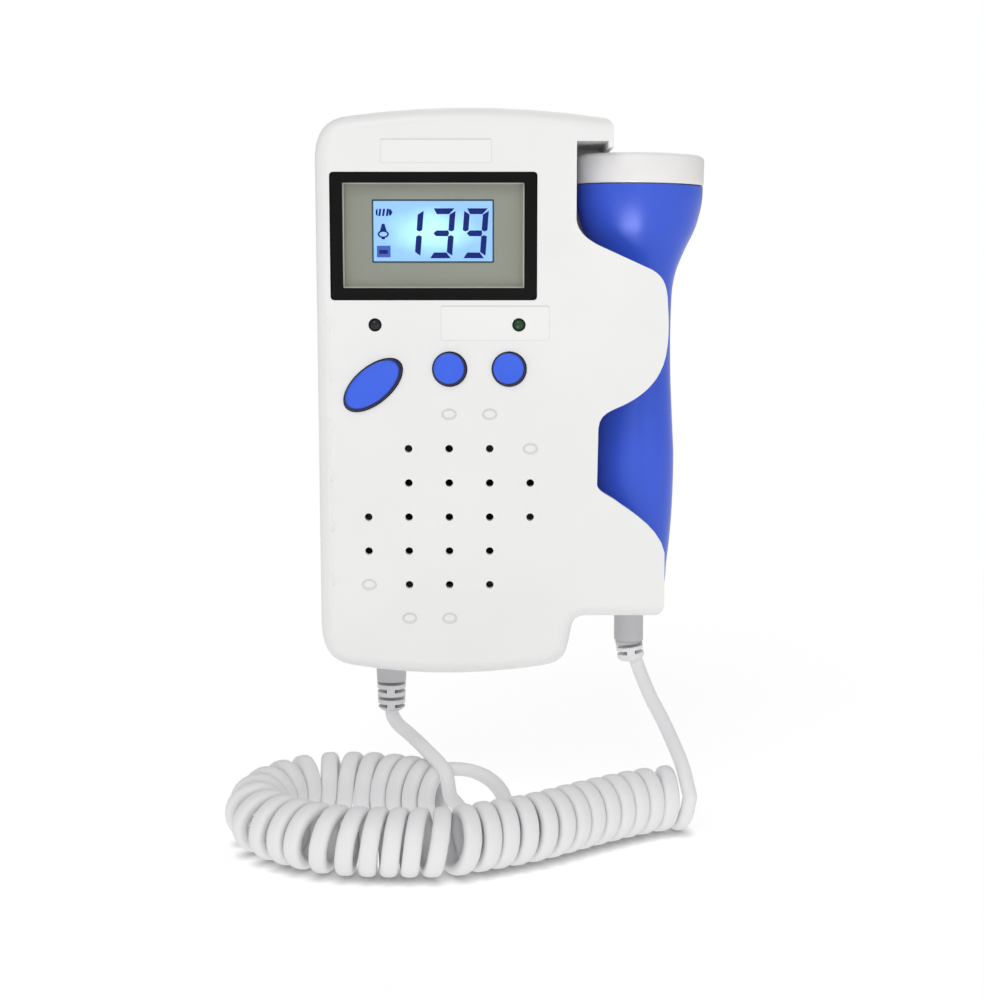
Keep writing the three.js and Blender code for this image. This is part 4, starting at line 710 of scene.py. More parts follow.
def through(places, per_span):
    """Points of a smooth curve through places, with the knots spaced by the root of the distance."""
    first = places[0] * 2 - places[1]
    last = places[-1] * 2 - places[-2]
    knots = [first, *places, last]
    line = []
    for span in range(len(places) - 1):
        p0, p1, p2, p3 = knots[span : span + 4]
        d0, d1, d2 = (math.sqrt((b - a).length) or 1.0 for a, b in ((p0, p1), (p1, p2), (p2, p3)))
        out = (p1 - p0) / d0 - (p2 - p0) / (d0 + d1) + (p2 - p1) / d1
        back = (p2 - p1) / d1 - (p3 - p1) / (d1 + d2) + (p3 - p2) / d2
        out, back = out * d1, back * d1
        for step in range(per_span):
            t = step / per_span
            line.append(
                p1 * (2 * t**3 - 3 * t**2 + 1)
                + out * (t**3 - 2 * t**2 + t)
                + p2 * (3 * t**2 - 2 * t**3)
                + back * (t**3 - t**2)
            )
    line.append(places[-1].copy())
    return line


class Route:
    """A line of points that can be read by the share of its length."""

    def __init__(self, points):
        self.points = points
        self.reached = [0.0]
        for a, b in zip(points, points[1:]):
            self.reached.append(self.reached[-1] + (b - a).length)
        self.length = self.reached[-1]

    def at(self, share):
        """Point and direction at a share of the length."""
        goal = min(max(share, 0.0), 1.0) * self.length
        low, high = 0, len(self.reached) - 2
        while low < high:
            middle = (low + high + 1) // 2
            if self.reached[middle] <= goal:
                low = middle
            else:
                high = middle - 1
        a, b = self.points[low], self.points[low + 1]
        step = self.reached[low + 1] - self.reached[low]
        return a.lerp(b, (goal - self.reached[low]) / step), (b - a).normalized()


def curls_along(route, radius):
    """Running number of curls along the coil's axis: fewer where the axis bends."""
    turns = [0.0]
    for i in range(COIL_SAMPLES):
        share = (i + 0.5) / COIL_SAMPLES
        before, after = max(share - BEND_REACH, 0), min(share + BEND_REACH, 1)
        bend = route.at(before)[1].angle(route.at(after)[1]) / ((after - before) * route.length)
        pitch = max(CURL_PITCH, BEND_PITCH / (1 - radius * bend))
        turns.append(turns[-1] + route.length / COIL_SAMPLES / pitch)
    return turns


def coil_wire(radius, steps):
    """Points of the curled wire and the coil's direction at each, from the probe's end on."""
    route = Route(through(in_metres((x, y, COIL_HEIGHT) for x, y in COIL_ROUTE), AXIS_STEPS))
    turns = curls_along(route, radius)
    # The wire enters the coil on one side and leaves it on the other: whole curls and a half.
    curls = math.floor(turns[-1] - 0.5) + 0.5
    scale = curls / turns[-1]
    wire, directions = [], []
    cursor = 0
    for k in range(round(curls * steps) + 1):
        turn = k / steps
        while cursor < len(turns) - 2 and turns[cursor + 1] * scale < turn:
            cursor += 1
        low, high = turns[cursor] * scale, turns[cursor + 1] * scale
        share = min((cursor + (turn - low) / (high - low)) / (len(turns) - 1), 1.0)
        centre, along = route.at(share)
        outward = Vector((-along.y, along.x, 0))
        angle = math.tau * turn
        spoke = outward * math.cos(angle) - Vector((0, 0, math.sin(angle)))
        loose = max((turn - curls + LOOSE_CURLS) / LOOSE_CURLS, 0)
        reach = LOOSE_REACH * math.sin(math.pi * loose) + LOOSE_RUN * loose
        wire.append(centre + along * reach + spoke * radius)
        directions.append(along)
    return wire, directions


def tail_line(places, end, beyond, diameter):
    """The points of a plain end, up to a curl's end, which it meets in the direction of the curl."""
    run = (end - beyond).normalized() * diameter * RUN_ON
    return through(in_metres(places) + [end + run, end], TAIL_STEPS)[:-1]


def cord_line(cord):
    """The whole cord, from the unit's relief to the probe's, and the coil's direction on its curls."""
    wire, directions = coil_wire(cord.coil_radius, cord.curl_steps)
    unit_tail = tail_line(UNIT_TAIL_ROUTE, wire[-1], wire[-2], cord.diameter)
    probe_tail = tail_line(PROBE_TAIL_ROUTE, wire[0], wire[1], cord.diameter)
    line = unit_tail + wire[::-1] + probe_tail[::-1]
    return line, [None] * len(unit_tail) + directions[::-1] + [None] * len(probe_tail)


def square_to(direction, along):
    """The part of a direction that is square to another one."""
    return (direction - along * direction.dot(along)).normalized()


def cord_tube(line, directions, cord):
    """A tube that is round on its tails and flattened on its curls, as heat-set cords are."""
    count = len(line)
    tangents = [(line[min(i + 1, count - 1)] - line[max(i - 1, 0)]).normalized() for i in range(count)]
    curled = [i for i in range(count) if directions[i]]
    first, last = curled[0], curled[-1]
    wide = [square_to(directions[i], tangents[i]) if directions[i] else None for i in range(count)]
    for i in reversed(range(first)):
        wide[i] = square_to(wide[i + 1], tangents[i])
    for i in range(last + 1, count):
        wide[i] = square_to(wide[i - 1], tangents[i])
    shape = bmesh.new()
    rings = []
    for i in range(count):
        flat = min(max(min(i - first, last - i) / cord.curl_steps, 0.0), 1.0)
        across = (cord.diameter + (cord.curl_width - cord.diameter) * flat) / 2
        through_it = (cord.diameter + (cord.curl_thickness - cord.diameter) * flat) / 2
        thin = tangents[i].cross(wide[i])
        corner = 1 - CURL_SQUARENESS * flat
        ring = []
        for k in range(cord.sides):
            angle = math.tau * (k + 0.5) / cord.sides
            x, y = math.cos(angle), math.sin(angle)
            x, y = math.copysign(abs(x) ** corner, x), math.copysign(abs(y) ** corner, y)
            ring.append(shape.verts.new(line[i] + wide[i] * across * x + thin * through_it * y))
        rings.append(ring)
    for ring, next_ring in zip(rings, rings[1:]):
        for k in range(cord.sides):
            n = (k + 1) % cord.sides
            shape.faces.new((ring[k], ring[n], next_ring[n], next_ring[k]))
    shape.faces.new(rings[0])
    shape.faces.new(rings[-1])
    bmesh.ops.recalc_face_normals(shape, faces=shape.faces)
    return shape


class DOPPLER_OT_cord(bpy.types.Operator):
    """Lays the curly cord between the two strain reliefs"""

    bl_idname = "doppler.cord"
    bl_label = "Curly cord"

    def execute(self, context):
        cord = settings("doppler_cord")
        line, directions = cord_line(cord)
        # Soft PVC from an extruder: satin, with a fine grain that takes the shine off the curls.
        sheath = moulded_plastic(
            "soft_pvc_sheath", cord.colour, roughness=0.42, grain=0.3 * MM, bump=0.25, cloud=0.02,
            ior=PVC_IOR,
        )
        obj = object_from(cord_tube(line, directions, cord), "curly_cord", sheath, sharp_angle=60)
        length = Route(line).length
        print(f"cord {length:.3f} m long, {len(obj.data.polygons)} faces")
        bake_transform(obj)
        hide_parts("cord_coil", "cord_probe_tail", "cord_unit_tail")
        return {"FINISHED"}


# Housing


class DOPPLER_OT_shells(bpy.types.Operator):
    """Finishes the two shells with rounded edges, and the battery cover"""

    bl_idname = "doppler.shells"
    bl_label = "Shells"

    def execute(self, context):
        housing = settings("doppler_housing")
        # Gloss-white ABS from a polished mould with a fine texture: an even, soft sheen.
        abs_white = moulded_plastic(
            "moulded_abs_white", housing.shell_colour, roughness=0.36, grain=housing.grain, bump=0.12
        )
        for node, body, edge in (
            ("front_shell", "housing", housing.shell_edge),
            ("rear_shell", "housing", housing.shell_edge),
            ("battery_cover", "battery_cover", 0.0),
        ):
            copy_of_node(node, f"{node}_finished", abs_white, body, edge)
        return {"FINISHED"}


# The bare plates on the face, in millimetres: x from, x to, z from, z to
BARE_PLATES = {
    "top_plate": (-15.1, 10.8, 55.2, 60.45),
    "lower_plate": (-1.1, 24.6, 13.65, 21.55),
}
PLATE_CORNER = 0.5
PLATE_PROUD = 0.12 * MM
PLATE_SUNK = 0.3 * MM
# How far the painted shade along a plate's edge shows round it, in millimetres: sides, foot and head
PLATE_EDGE_SHADE = (0.1, 0.06, 0.34)
LAMP_CLEARANCE = 0.2 * MM
LAMP_HOLE_DEPTH = 4 * MM


def lamp_hole(node):
    """A round cutter through the face, a little wider than a lamp."""
    low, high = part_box(node)
    radius = (high.x - low.x) / 2 + LAMP_CLEARANCE
    centre = middle_of(node)
    cutter = bmesh.new()
    bmesh.ops.create_cone(
        cutter, cap_ends=True, segments=48, radius1=radius, radius2=radius, depth=LAMP_HOLE_DEPTH
    )
    bmesh.ops.rotate(cutter, verts=cutter.verts, matrix=Matrix.Rotation(math.pi / 2, 3, "X"))
    bmesh.ops.translate(cutter, verts=cutter.verts, vec=(centre.x, FRONT_Y, centre.z))
    return cutter


class DOPPLER_OT_plates(bpy.types.Operator):
    """Lays the two bare plates on the face, each over a grey sheet of painted shade round its edge"""

    bl_idname = "doppler.plates"
    bl_label = "Bare plates"

    def execute(self, context):
        housing = settings("doppler_housing")
        # Plates of thin polycarbonate: smoother and a shade brighter than the shell round them.
        film = moulded_plastic(
            "polycarbonate_plate", housing.plate_colour, roughness=0.3, grain=housing.grain, bump=0.05
        )
        # Painted shade: a thin grey sheet under each plate shows round its edge, widest along its head.
        plate_edge_shade = moulded_plastic(
            "painted_plate_edge_shade", "D8D8D7", roughness=0.5, grain=housing.grain, bump=0.05
        )
        for name, area in BARE_PLATES.items():
            for part, material, proud, shown in (
                (name, film, PLATE_PROUD, (0, 0, 0)),
                (f"{name}_edge", plate_edge_shade, PLATE_PROUD / 2, PLATE_EDGE_SHADE),
            ):
                outline = rounded_corners(grown(area, *shown), PLATE_CORNER)
                shape = flat_plate(outline, FRONT_Y - proud, FRONT_Y + PLATE_SUNK)
                plate = piece_from(shape, part, material, "housing")
                if name == "lower_plate":
                    cut_with(plate, lamp_hole("signal_led"))
                round_edges(plate, proud / 2)
        return {"FINISHED"}


# Centres of the blind marks, and the half sizes of a mark's brim and floor, in millimetres
BLIND_MARKS = [(0.7, -4.0), (10.45, -4.0), (20.2, -12.3), (-18.8, -45.5), (-9.05, -53.8), (0.7, -53.8)]
MARK_BRIM = (1.88, 1.43)
MARK_FLOOR = (1.3, 0.85)
# Depths of the slope's brim, its foot and its underside below the face
MARK_DEPTHS = (0.03 * MM, 0.33 * MM, 0.55 * MM)


class DOPPLER_OT_dimples(bpy.types.Operator):
    """Lays the soft slope inside each blind mark of the speaker's pattern, coloured as painted shade"""

    bl_idname = "doppler.dimples"
    bl_label = "Blind marks"

    def execute(self, context):
        housing = settings("doppler_housing")
        # The same ABS as the shells', coloured darker as painted shade on a slope that the light from
        # above passes over.
        slope = moulded_plastic(
            "moulded_abs_in_shade", housing.mark_shade_colour, roughness=0.5, grain=housing.grain, bump=0.12
        )
        shape = bmesh.new()
        for centre in BLIND_MARKS:
            loops = []
            for size, depth in zip((MARK_BRIM, MARK_FLOOR, MARK_BRIM), MARK_DEPTHS):
                ring = [shape.verts.new((x, FRONT_Y + depth, z)) for x, z in oval(centre, *size)]
                loops.append(ring)
            for ring, next_ring in zip(loops, loops[1:] + loops[:1]):
                for k in range(OVAL_STEPS):
                    n = (k + 1) % OVAL_STEPS
                    shape.faces.new((ring[k], ring[n], next_ring[n], next_ring[k]))
        bmesh.ops.recalc_face_normals(shape, faces=shape.faces)
        piece_from(shape, "blind_marks", slope, "housing", 50)
        return {"FINISHED"}


# Display

# The lit area, the frame's front opening in the solid, and that opening as the photo shows it, in
# millimetres: x from, x to, z from, z to
LIT_AREA = (-17.5, 11.5, 31.9, 46.8)
SOLID_OPENING = (-24.1, 18.5, 26.3, 49.9)
SEEN_OPENING = (-24.3, 18.65, 26.0, 50.6)
# Corners this close to the face and this close to the solid's opening belong to its front edges
OPENING_DEPTH = 1 * MM
OPENING_REACH = 0.02 * MM
# The dark seal that shows round the lit area, and the round of both, in millimetres
SEAL_WIDTH = 0.4
SEAL_CORNER = 0.3
LIT_CORNER = 0.2
# The painted highlight along the window's cut edge, in millimetres inside the opening: where it starts and
# ends
WINDOW_EDGE_HIGHLIGHT = (0.03, 0.3)
WINDOW_CORNER = 0.1
# One layer of the display's films, and the front of each film in layers over the display glass
LAYER = 0.06 * MM
SEAL_LAYER, LIT_LAYER, CHARGE_LAYER, INK_LAYER = 1, 1.6, 2.3, 2.6
# The back of the lit area, in layers over the glass, and of the window's edge, in layers into it
LIT_BACK, WINDOW_SUNK = 0.4, 0.3
FRAME_EDGE = 0.25 * MM
# The reading: its digits and their right sides, in millimetres, and how far they lean
DIGIT_HEIGHT = 11.7
DIGIT_WIDTH = 5.85
DIGIT_FOOT = 33.0
DIGIT_RIGHTS = (-6.05, 1.5, 9.4)
DIGIT_LEAN = 0.078
SEGMENTS_ON = {
    "0": "abcdef", "1": "bc", "2": "abged", "3": "abgcd", "4": "fgbc",
    "5": "afgcd", "6": "afgcde", "7": "abc", "8": "abcdefg", "9": "abcdfg",
}
# The charge mark's area, and the middles of the three plain marks, in millimetres
CHARGE_BLOCK = (-16.35, -13.1, 33.2, 35.95)
STROKES_MARK = (-14.6, 43.75)
RING_MARK = (-14.8, 39.4)
BAR_MARK = (-14.8, 34.5)


def block(area):
    """Corners of an area."""
    x0, x1, z0, z1 = area
    return [(x0, z0), (x1, z0), (x1, z1), (x0, z1)]


def segment_outlines(width):
    """Outlines of the seven segments of a digit, from its right foot, before it leans."""
    left, right, head = -DIGIT_WIDTH, 0.0, DIGIT_HEIGHT
    middle, half = head / 2, width / 2
    corner = width + 0.1
    bar = [(left + 0.65, 0), (right - 0.3, 0), (right - corner, width), (left + 0.65 + width * 0.6, width)]
    post = [
        (right, 0.6), (right, middle - 0.75), (right - half, middle - 0.42),
        (right - width, middle - 0.75), (right - width, corner),
    ]
    return {
        "a": [(x, head - z) for x, z in bar],
        "b": [(x, head - z) for x, z in post],
        "c": post,
        "d": bar,
        "e": [(left - x, z) for x, z in post],
        "f": [(left - x, head - z) for x, z in post],
        "g": [
            (left + 1.0, middle), (left + 1.0 + half, middle + half), (right - width, middle + half),
            (right - width + 0.2, middle), (right - width, middle - half),
            (left + 1.0 + half, middle - half),
        ],
    }


def reading_outlines(reading, width):
    """Outlines of the segments that are on in a reading of three digits."""
    shapes = segment_outlines(width)
    return [
        [(right + x + z * DIGIT_LEAN, DIGIT_FOOT + z) for x, z in shapes[segment]]
        for right, figure in zip(DIGIT_RIGHTS, reading[-3:].rjust(3, "0"))
        for segment in SEGMENTS_ON[figure]
    ]


def status_outlines():
    """Outlines of the plain marks at the left of the reading, in millimetres.

    They are slanted strokes between two wedges, a ring with a cap and a foot, and a bar.
    """
    x, z = STROKES_MARK
    marks = [
        [(x + k, z - 0.85), (x + k + 0.5, z - 0.85), (x + k + 0.75, z + 0.85), (x + k + 0.25, z + 0.85)]
        for k in (-1.35, -0.45, 0.45)
    ]
    marks.append([(x - 1.95, z - 0.45), (x - 1.5, z - 0.95), (x - 1.5, z + 0.95), (x - 1.95, z + 0.45)])
    marks.append(
        [
            (x + 1.45, z - 0.9), (x + 2.05, z), (x + 1.45, z + 0.9), (x + 1.15, z + 0.5),
            (x + 1.15, z - 0.5),
        ]
    )
    x, z = RING_MARK
    marks.append([(x - 0.8, z), (x + 0.8, z), (x + 0.3, z + 1.7), (x - 0.3, z + 1.7)])
    for start in (0, 180):
        arc = [math.radians(start + angle) for angle in range(0, 181, 20)]
        half_ring = [(x + 1.35 * math.cos(t), z - 0.75 + 0.9 * math.sin(t)) for t in arc]
        half_ring += [(x + 0.95 * math.cos(t), z - 0.75 + 0.55 * math.sin(t)) for t in reversed(arc)]
        marks.append(half_ring)
    marks.append(block((x - 0.4, x + 0.4, z - 1.95, z - 1.5)))
    x, z = BAR_MARK
    marks.append(block((x - 1.0, x + 1.05, z - 0.45, z + 0.45)))
    return marks


def ink_shape(outlines, y_front):
    """Thin ink patches from outlines in millimetres."""
    shape = bmesh.new()
    for outline in outlines:
        patch = flat_plate([(x * MM, z * MM) for x, z in outline], y_front, y_front + LAYER)
        merge_into(shape, patch)
    return shape


def widen_opening(shape):
    """Moves the front edges of the frame's opening from the solid's place to the seen one."""
    for vert in shape.verts:
        if vert.co.y < FRONT_Y + OPENING_DEPTH:
            for axis, was, now in zip((0, 0, 2, 2), SOLID_OPENING, SEEN_OPENING):
                if abs(vert.co[axis] - was * MM) < OPENING_REACH:
                    vert.co[axis] = now * MM


class DOPPLER_OT_display(bpy.types.Operator):
    """Finishes the display: frame, window, grey glass, lit area and reading"""

    bl_idname = "doppler.display"
    bl_label = "Display"

    def execute(self, context):
        display = settings("doppler_display")
        # Black ABS with a satin face: only its edges catch the light.
        black = moulded_plastic(
            "moulded_abs_black", display.frame_colour, roughness=0.32, grain=0.3 * MM, bump=0.08,
            cloud=0.05, shine=0.12,
        )
        copy_of_node(
            "lcd_bezel", "display_frame", black, "housing", FRAME_EDGE, widen_opening
        )
        dress(NODES["window_lens"], clear_window())
        # Grey polariser film over glass: flat and slightly glossy.
        film = moulded_plastic(
            "grey_polariser", display.glass_colour, roughness=0.3, grain=0.5 * MM, bump=0.03, cloud=0.03
        )
        dress(NODES["lcd_panel"], film)
        # Resin seal of the cell: a dark teal line round the lit area.
        border = moulded_plastic(
            "cell_seal", "23444F", roughness=0.4, grain=0.5 * MM, bump=0.02, cloud=0.03
        )
        glass_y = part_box("lcd_panel")[0].y
        outline = rounded_corners(LIT_AREA, SEAL_CORNER)
        seal = flat_plate(outline, glass_y - SEAL_LAYER * LAYER, glass_y + LAYER)
        piece_from(seal, "cell_edge", border, "housing")
        lit = lit_cell(
            "backlit_cell", display.lit_colour, edge_hex="8FBEF7", strength=0.45, area=LIT_AREA
        )
        outline = rounded_corners(inset(LIT_AREA, SEAL_WIDTH), LIT_CORNER)
        cell = flat_plate(outline, glass_y - LIT_LAYER * LAYER, glass_y - LIT_BACK * LAYER)
        piece_from(cell, "lit_area", lit, "housing")
        # A painted highlight: the cut edge of the clear window shows as a thin pale line inside the frame.
        pale = moulded_plastic("painted_window_highlight", "D2D2C6", roughness=0.4, grain=0.5 * MM, bump=0.02)
        outer, inner = (
            rounded_corners(inset(SEEN_OPENING, by), WINDOW_CORNER) for by in WINDOW_EDGE_HIGHLIGHT
        )
        lens_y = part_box("window_lens")[0].y
        edge = ring_plate(outer, inner, lens_y - LAYER, lens_y + WINDOW_SUNK * LAYER)
        piece_from(edge, "window_edge_highlight", pale, "housing")
        # Inks of the cell's segments, a mid blue and a dark blue: flat and dull.
        charge = moulded_plastic(
            "charge_ink", "3F63CC", roughness=0.4, grain=0.5 * MM, bump=0.02, cloud=0.04
        )
        ink = moulded_plastic(
            "segment_ink", display.ink_colour, roughness=0.4, grain=0.5 * MM, bump=0.02, cloud=0.04,
            shine=0.1,
        )
        for name, marks, material, layer in (
            ("charge_mark", [block(CHARGE_BLOCK)], charge, CHARGE_LAYER),
            ("reading", reading_outlines(display.reading, display.segment / MM), ink, INK_LAYER),
            ("status_marks", status_outlines(), ink, INK_LAYER),
        ):
            patches = ink_shape(marks, glass_y - layer * LAYER)
            piece_from(patches, name, material, "housing")
        # Acrylic light guide behind the cell: pale and glossy.
        guide = moulded_plastic(
            "acrylic_light_guide", "DDF1FA", roughness=0.2, grain=0.5 * MM, bump=0.02
        )
        dress(NODES["lcd_backlight"], guide)
        # Natural ABS of the holder: off-white and matte.
        holder = moulded_plastic(
            "moulded_abs_holder", "E4E4E2", roughness=0.45, grain=0.4 * MM, bump=0.1
        )
        dress(NODES["lcd_holder"], holder)
        return {"FINISHED"}


# Buttons and lamps

# Outlines turned about a button's or a lamp's middle, as radius and depth behind the face, in millimetres
KEY_PROUD = 1.1
STEM_RADIUS = 1.5
STEM_DEPTH = 7.4
FLANGE = 1.0
FLANGE_BACK = 3.3
OVAL_STEM = [(0, 3.2), (STEM_RADIUS, 3.2), (STEM_RADIUS, STEM_DEPTH), (0, STEM_DEPTH)]
ROUND_KEY_RADIUS = 3.95
ROUND_KEY = [
    (0, -0.75), (1.6, -0.82), (2.8, -1.0), (3.35, -KEY_PROUD), (3.68, -0.98), (3.88, -0.7),
    (ROUND_KEY_RADIUS, -0.35), (ROUND_KEY_RADIUS, 2.3), (ROUND_KEY_RADIUS + FLANGE, 2.3),
    (ROUND_KEY_RADIUS + FLANGE, FLANGE_BACK), (STEM_RADIUS, FLANGE_BACK), (STEM_RADIUS, STEM_DEPTH),
    (0, STEM_DEPTH),
]
LAMP = [
    (0, -0.3), (0.7, -0.2), (1.15, 0.1), (1.4, 0.55), (1.45, 1.0), (1.45, 4.9), (1.1, 4.9),
    (1.1, 13.4), (0, 13.4),
]
# The power button: half its length and width, in millimetres, its turn and the round of its edge
OVAL_SIZE = (8.3, 4.2)
OVAL_TURN = math.radians(40)
OVAL_ROUND = 0.8 * MM
# Its key and flange, in millimetres: how much wider, and the depths of the front and back
OVAL_LAYERS = ((0.0, -KEY_PROUD, 3.0), (FLANGE, 2.35, FLANGE_BACK))


def lathe_y(rows, centre, steps):
    """A shape turned about the Y direction, from radii and depths behind the face."""
    profile = [(centre.x + radius * MM, FRONT_Y + depth * MM, centre.z) for radius, depth in rows]
    return spun(profile, (centre.x, 0, centre.z), (0, 1, 0), steps)


def oval_button(centre):
    """The oval power button with a soft edge, a flange behind the face and a stem."""
    shape = bmesh.new()
    for grow, front, back in OVAL_LAYERS:
        y_front = FRONT_Y + front * MM
        half_length, half_width = ((size + grow) * MM for size in OVAL_SIZE)
        part = bmesh.new()
        ring = bmesh.ops.create_circle(part, cap_ends=True, segments=96, radius=1.0)["verts"]
        bmesh.ops.scale(part, verts=ring, vec=(half_length, half_width, 1))
        bmesh.ops.rotate(part, verts=ring, matrix=Matrix.Rotation(OVAL_TURN, 3, "Z"))
        bmesh.ops.rotate(part, verts=ring, matrix=Matrix.Rotation(math.pi / 2, 3, "X"))
        bmesh.ops.translate(part, verts=ring, vec=(centre.x, y_front, centre.z))
        thicken(part, (back - front) * MM)
        if not grow:
            rim = [e for e in part.edges if all(abs(v.co.y - y_front) < MERGE for v in e.verts)]
            bmesh.ops.bevel(
                part, geom=rim, offset=OVAL_ROUND, segments=6, profile=0.5, affect="EDGES", material=-1
            )
        bmesh.ops.recalc_face_normals(part, faces=part.faces)
        merge_into(shape, part)
    merge_into(shape, lathe_y(OVAL_STEM, centre, 32))
    return shape


def round_button(centre):
    """A round volume button with a dished face, a flange behind the face and a stem."""
    return lathe_y(ROUND_KEY, centre, 64)


class DOPPLER_OT_buttons(bpy.types.Operator):
    """Makes the three buttons and the two lamps"""

    bl_idname = "doppler.buttons"
    bl_label = "Buttons and lamps"

    def execute(self, context):
        buttons = settings("doppler_buttons")
        round_size = (ROUND_KEY_RADIUS, ROUND_KEY_RADIUS)
        for name, node, size, turn, make in (
            ("power_key", "power_button", OVAL_SIZE, OVAL_TURN, oval_button),
            ("volume_down_key", "volume_down_button", round_size, 0.0, round_button),
            ("volume_up_key", "volume_up_button", round_size, 0.0, round_button),
        ):
            centre = middle_of(node)
            rim = (buttons.rim_shade_colour, centre, size[0] * MM, size[1] * MM, turn)
            # Gloss-blue ABS keys: a polished face whose edge turns down into a dark gap, with painted
            # shade along that edge.
            blue = moulded_plastic(
                f"moulded_abs_{name}", buttons.button_colour, roughness=0.32, grain=0.3 * MM, bump=0.06,
                cloud=0.02, shine=0.35, rim=rim,
            )
            piece = piece_from(make(centre), name, blue, node, 40)
            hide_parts(node)
        for node, colour, record_slot in (
            ("power_led", buttons.power_lamp, "led_off"),
            ("signal_led", buttons.signal_lamp, "led_green"),
        ):
            lens = tinted_lens(f"tinted_epoxy_{node}", colour)
            shape = lathe_y(LAMP, middle_of(node), 40)
            piece = piece_from(shape, f"{node}_lens", lens, "housing", 40)
            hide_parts(node)
        return {"FINISHED"}


# Probe

# The middle of the probe's axis in the cradle, and how far the axis leans to the unit
PROBE_MIDDLE = Vector((46.395, -17.5, 0)) * MM
PROBE_TILT = math.radians(0.8)
# Outlines turned about the axis, as radius and height in millimetres, from the head down
PROBE_SIDE = [
    (15.5, 50.5), (15.42, 47.5), (15.0, 44.6), (13.8, 40.2), (11.5, 35.2), (9.6, 30.2), (8.8, 26),
    (8.6, 21), (8.65, 12), (9.0, 3), (9.75, -8), (10.2, -15), (10.3, -22), (10.15, -30), (9.75, -37),
    (9.2, -43), (9.0, -47.2), (8.6, -49.2), (7.6, -50.5), (6, -51.2),
]
CAP_SIDE = [
    (0, 58.15), (8, 58.05), (12.6, 57.92), (14.6, 57.75), (15.35, 57.35), (15.65, 56.8), (15.65, 51.3),
    (15.6, 50.9), (15.5, 50.75), (13, 50.75), (13, 47.9), (0, 47.9),
]
# Points between two places of the side
SIDE_STEPS = 5
# Each half ends this far from the parting plane, and its edges are this round
PARTING_GAP = 0.12 * MM
PARTING_ROUND = 0.15 * MM


def standing(shape):
    """Leans a shape about the probe's axis and moves it into the cradle."""
    lean = Matrix.Translation(PROBE_MIDDLE) @ Matrix.Rotation(PROBE_TILT, 4, "Y")
    bmesh.ops.transform(shape, matrix=lean, verts=shape.verts)
    return shape


def half_of(shape, side):
    """Keeps one half of a closed shape and closes it, a little clear of the parting plane."""
    bmesh.ops.bisect_plane(
        shape,
        geom=list(shape.verts) + list(shape.edges) + list(shape.faces),
        plane_co=(0, side * PARTING_GAP, 0),
        plane_no=(0, -side, 0),
        clear_outer=True,
    )
    bmesh.ops.holes_fill(shape, edges=[e for e in shape.edges if e.is_boundary])
    bmesh.ops.recalc_face_normals(shape, faces=shape.faces)
    return shape


class DOPPLER_OT_probe(bpy.types.Operator):
    """Turns the probe's shells and face and finishes what is in it"""

    bl_idname = "doppler.probe"
    bl_label = "Probe"

    def execute(self, context):
        probe = settings("doppler_probe")
        about_axis = ((0, 0, 0), (0, 0, 1), probe.spin_steps)
        # Gloss-blue ABS shells, polished, with a long soft highlight.
        blue = moulded_plastic(
            "moulded_abs_probe_blue", probe.body_colour, roughness=0.32, grain=0.35 * MM, bump=0.05,
            cloud=0.02, shine=0.28,
        )
        side_line = through(in_metres((radius, 0, height) for radius, height in PROBE_SIDE), SIDE_STEPS)
        head, foot = ((0, 0, side_line[end].z) for end in (0, -1))
        profile = [head, *side_line, foot]
        for name, side in (("front", -1), ("rear", 1)):
            shape = standing(half_of(spun(profile, *about_axis), side))
            piece = piece_from(shape, f"probe_half_{name}", blue, "probe", 40)
            modifier(
                piece, "BEVEL", "edge_round", width=PARTING_ROUND, segments=2, limit_method="ANGLE",
                angle_limit=math.radians(50), harden_normals=True, use_clamp_overlap=True,
            )
            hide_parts(f"probe_shell_{name}")
        # Pale polymer lens over the crystals: matte and slightly warm.
        pale = moulded_plastic(
            "polymer_probe_face", probe.face_colour, roughness=0.4, grain=0.35 * MM, bump=0.08
        )
        cap = standing(spun([(radius * MM, 0, height * MM) for radius, height in CAP_SIDE], *about_axis))
        piece = piece_from(cap, "probe_face", pale, "probe", 40)
        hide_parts("probe_face_cap")
        # Fired ceramic crystals: cream and fine-grained, on a dark grainy backing that soaks up sound.
        ceramic = speckled("sintered_ceramic", "E4DCCB", "EFE8DA", 0.4 * MM, roughness=0.45, bump=0.2)
        dress(NODES["transducer_transmit"], ceramic)
        dress(NODES["transducer_receive"], ceramic)
        backing = speckled("tungsten_epoxy", "3E4146", "55585D", 0.5 * MM, roughness=0.8, bump=0.3)
        dress(NODES["transducer_backing"], backing)
        return {"FINISHED"}


# Small pieces

# Each strain relief, with heights and lengths in millimetres: its body, the height of its collar's foot,
# how far its ribs move across and up from the solid's place to the seen one, their colour, lighter on the
# probe's as painted light where that relief lies in the open, and the heights between which they turn to
# the collar's grey, which is painted shade
RELIEFS = {
    "unit": ("housing", -73, (0, 0.7), "D6D6D8", (-73.6, -73.2)),
    "probe": ("probe", -60, (0.25, 0.9), "E8E8EA", (-64.3, -63.6)),
}
RELIEF_EDGE = 0.1 * MM


def ribs_moved(collar_foot, across, up):
    """A reshaping that moves all of a relief below its collar's foot."""

    def reshape(shape):
        for vert in shape.verts:
            if vert.co.z < collar_foot * MM:
                vert.co += Vector((across, 0, up)) * MM

    return reshape


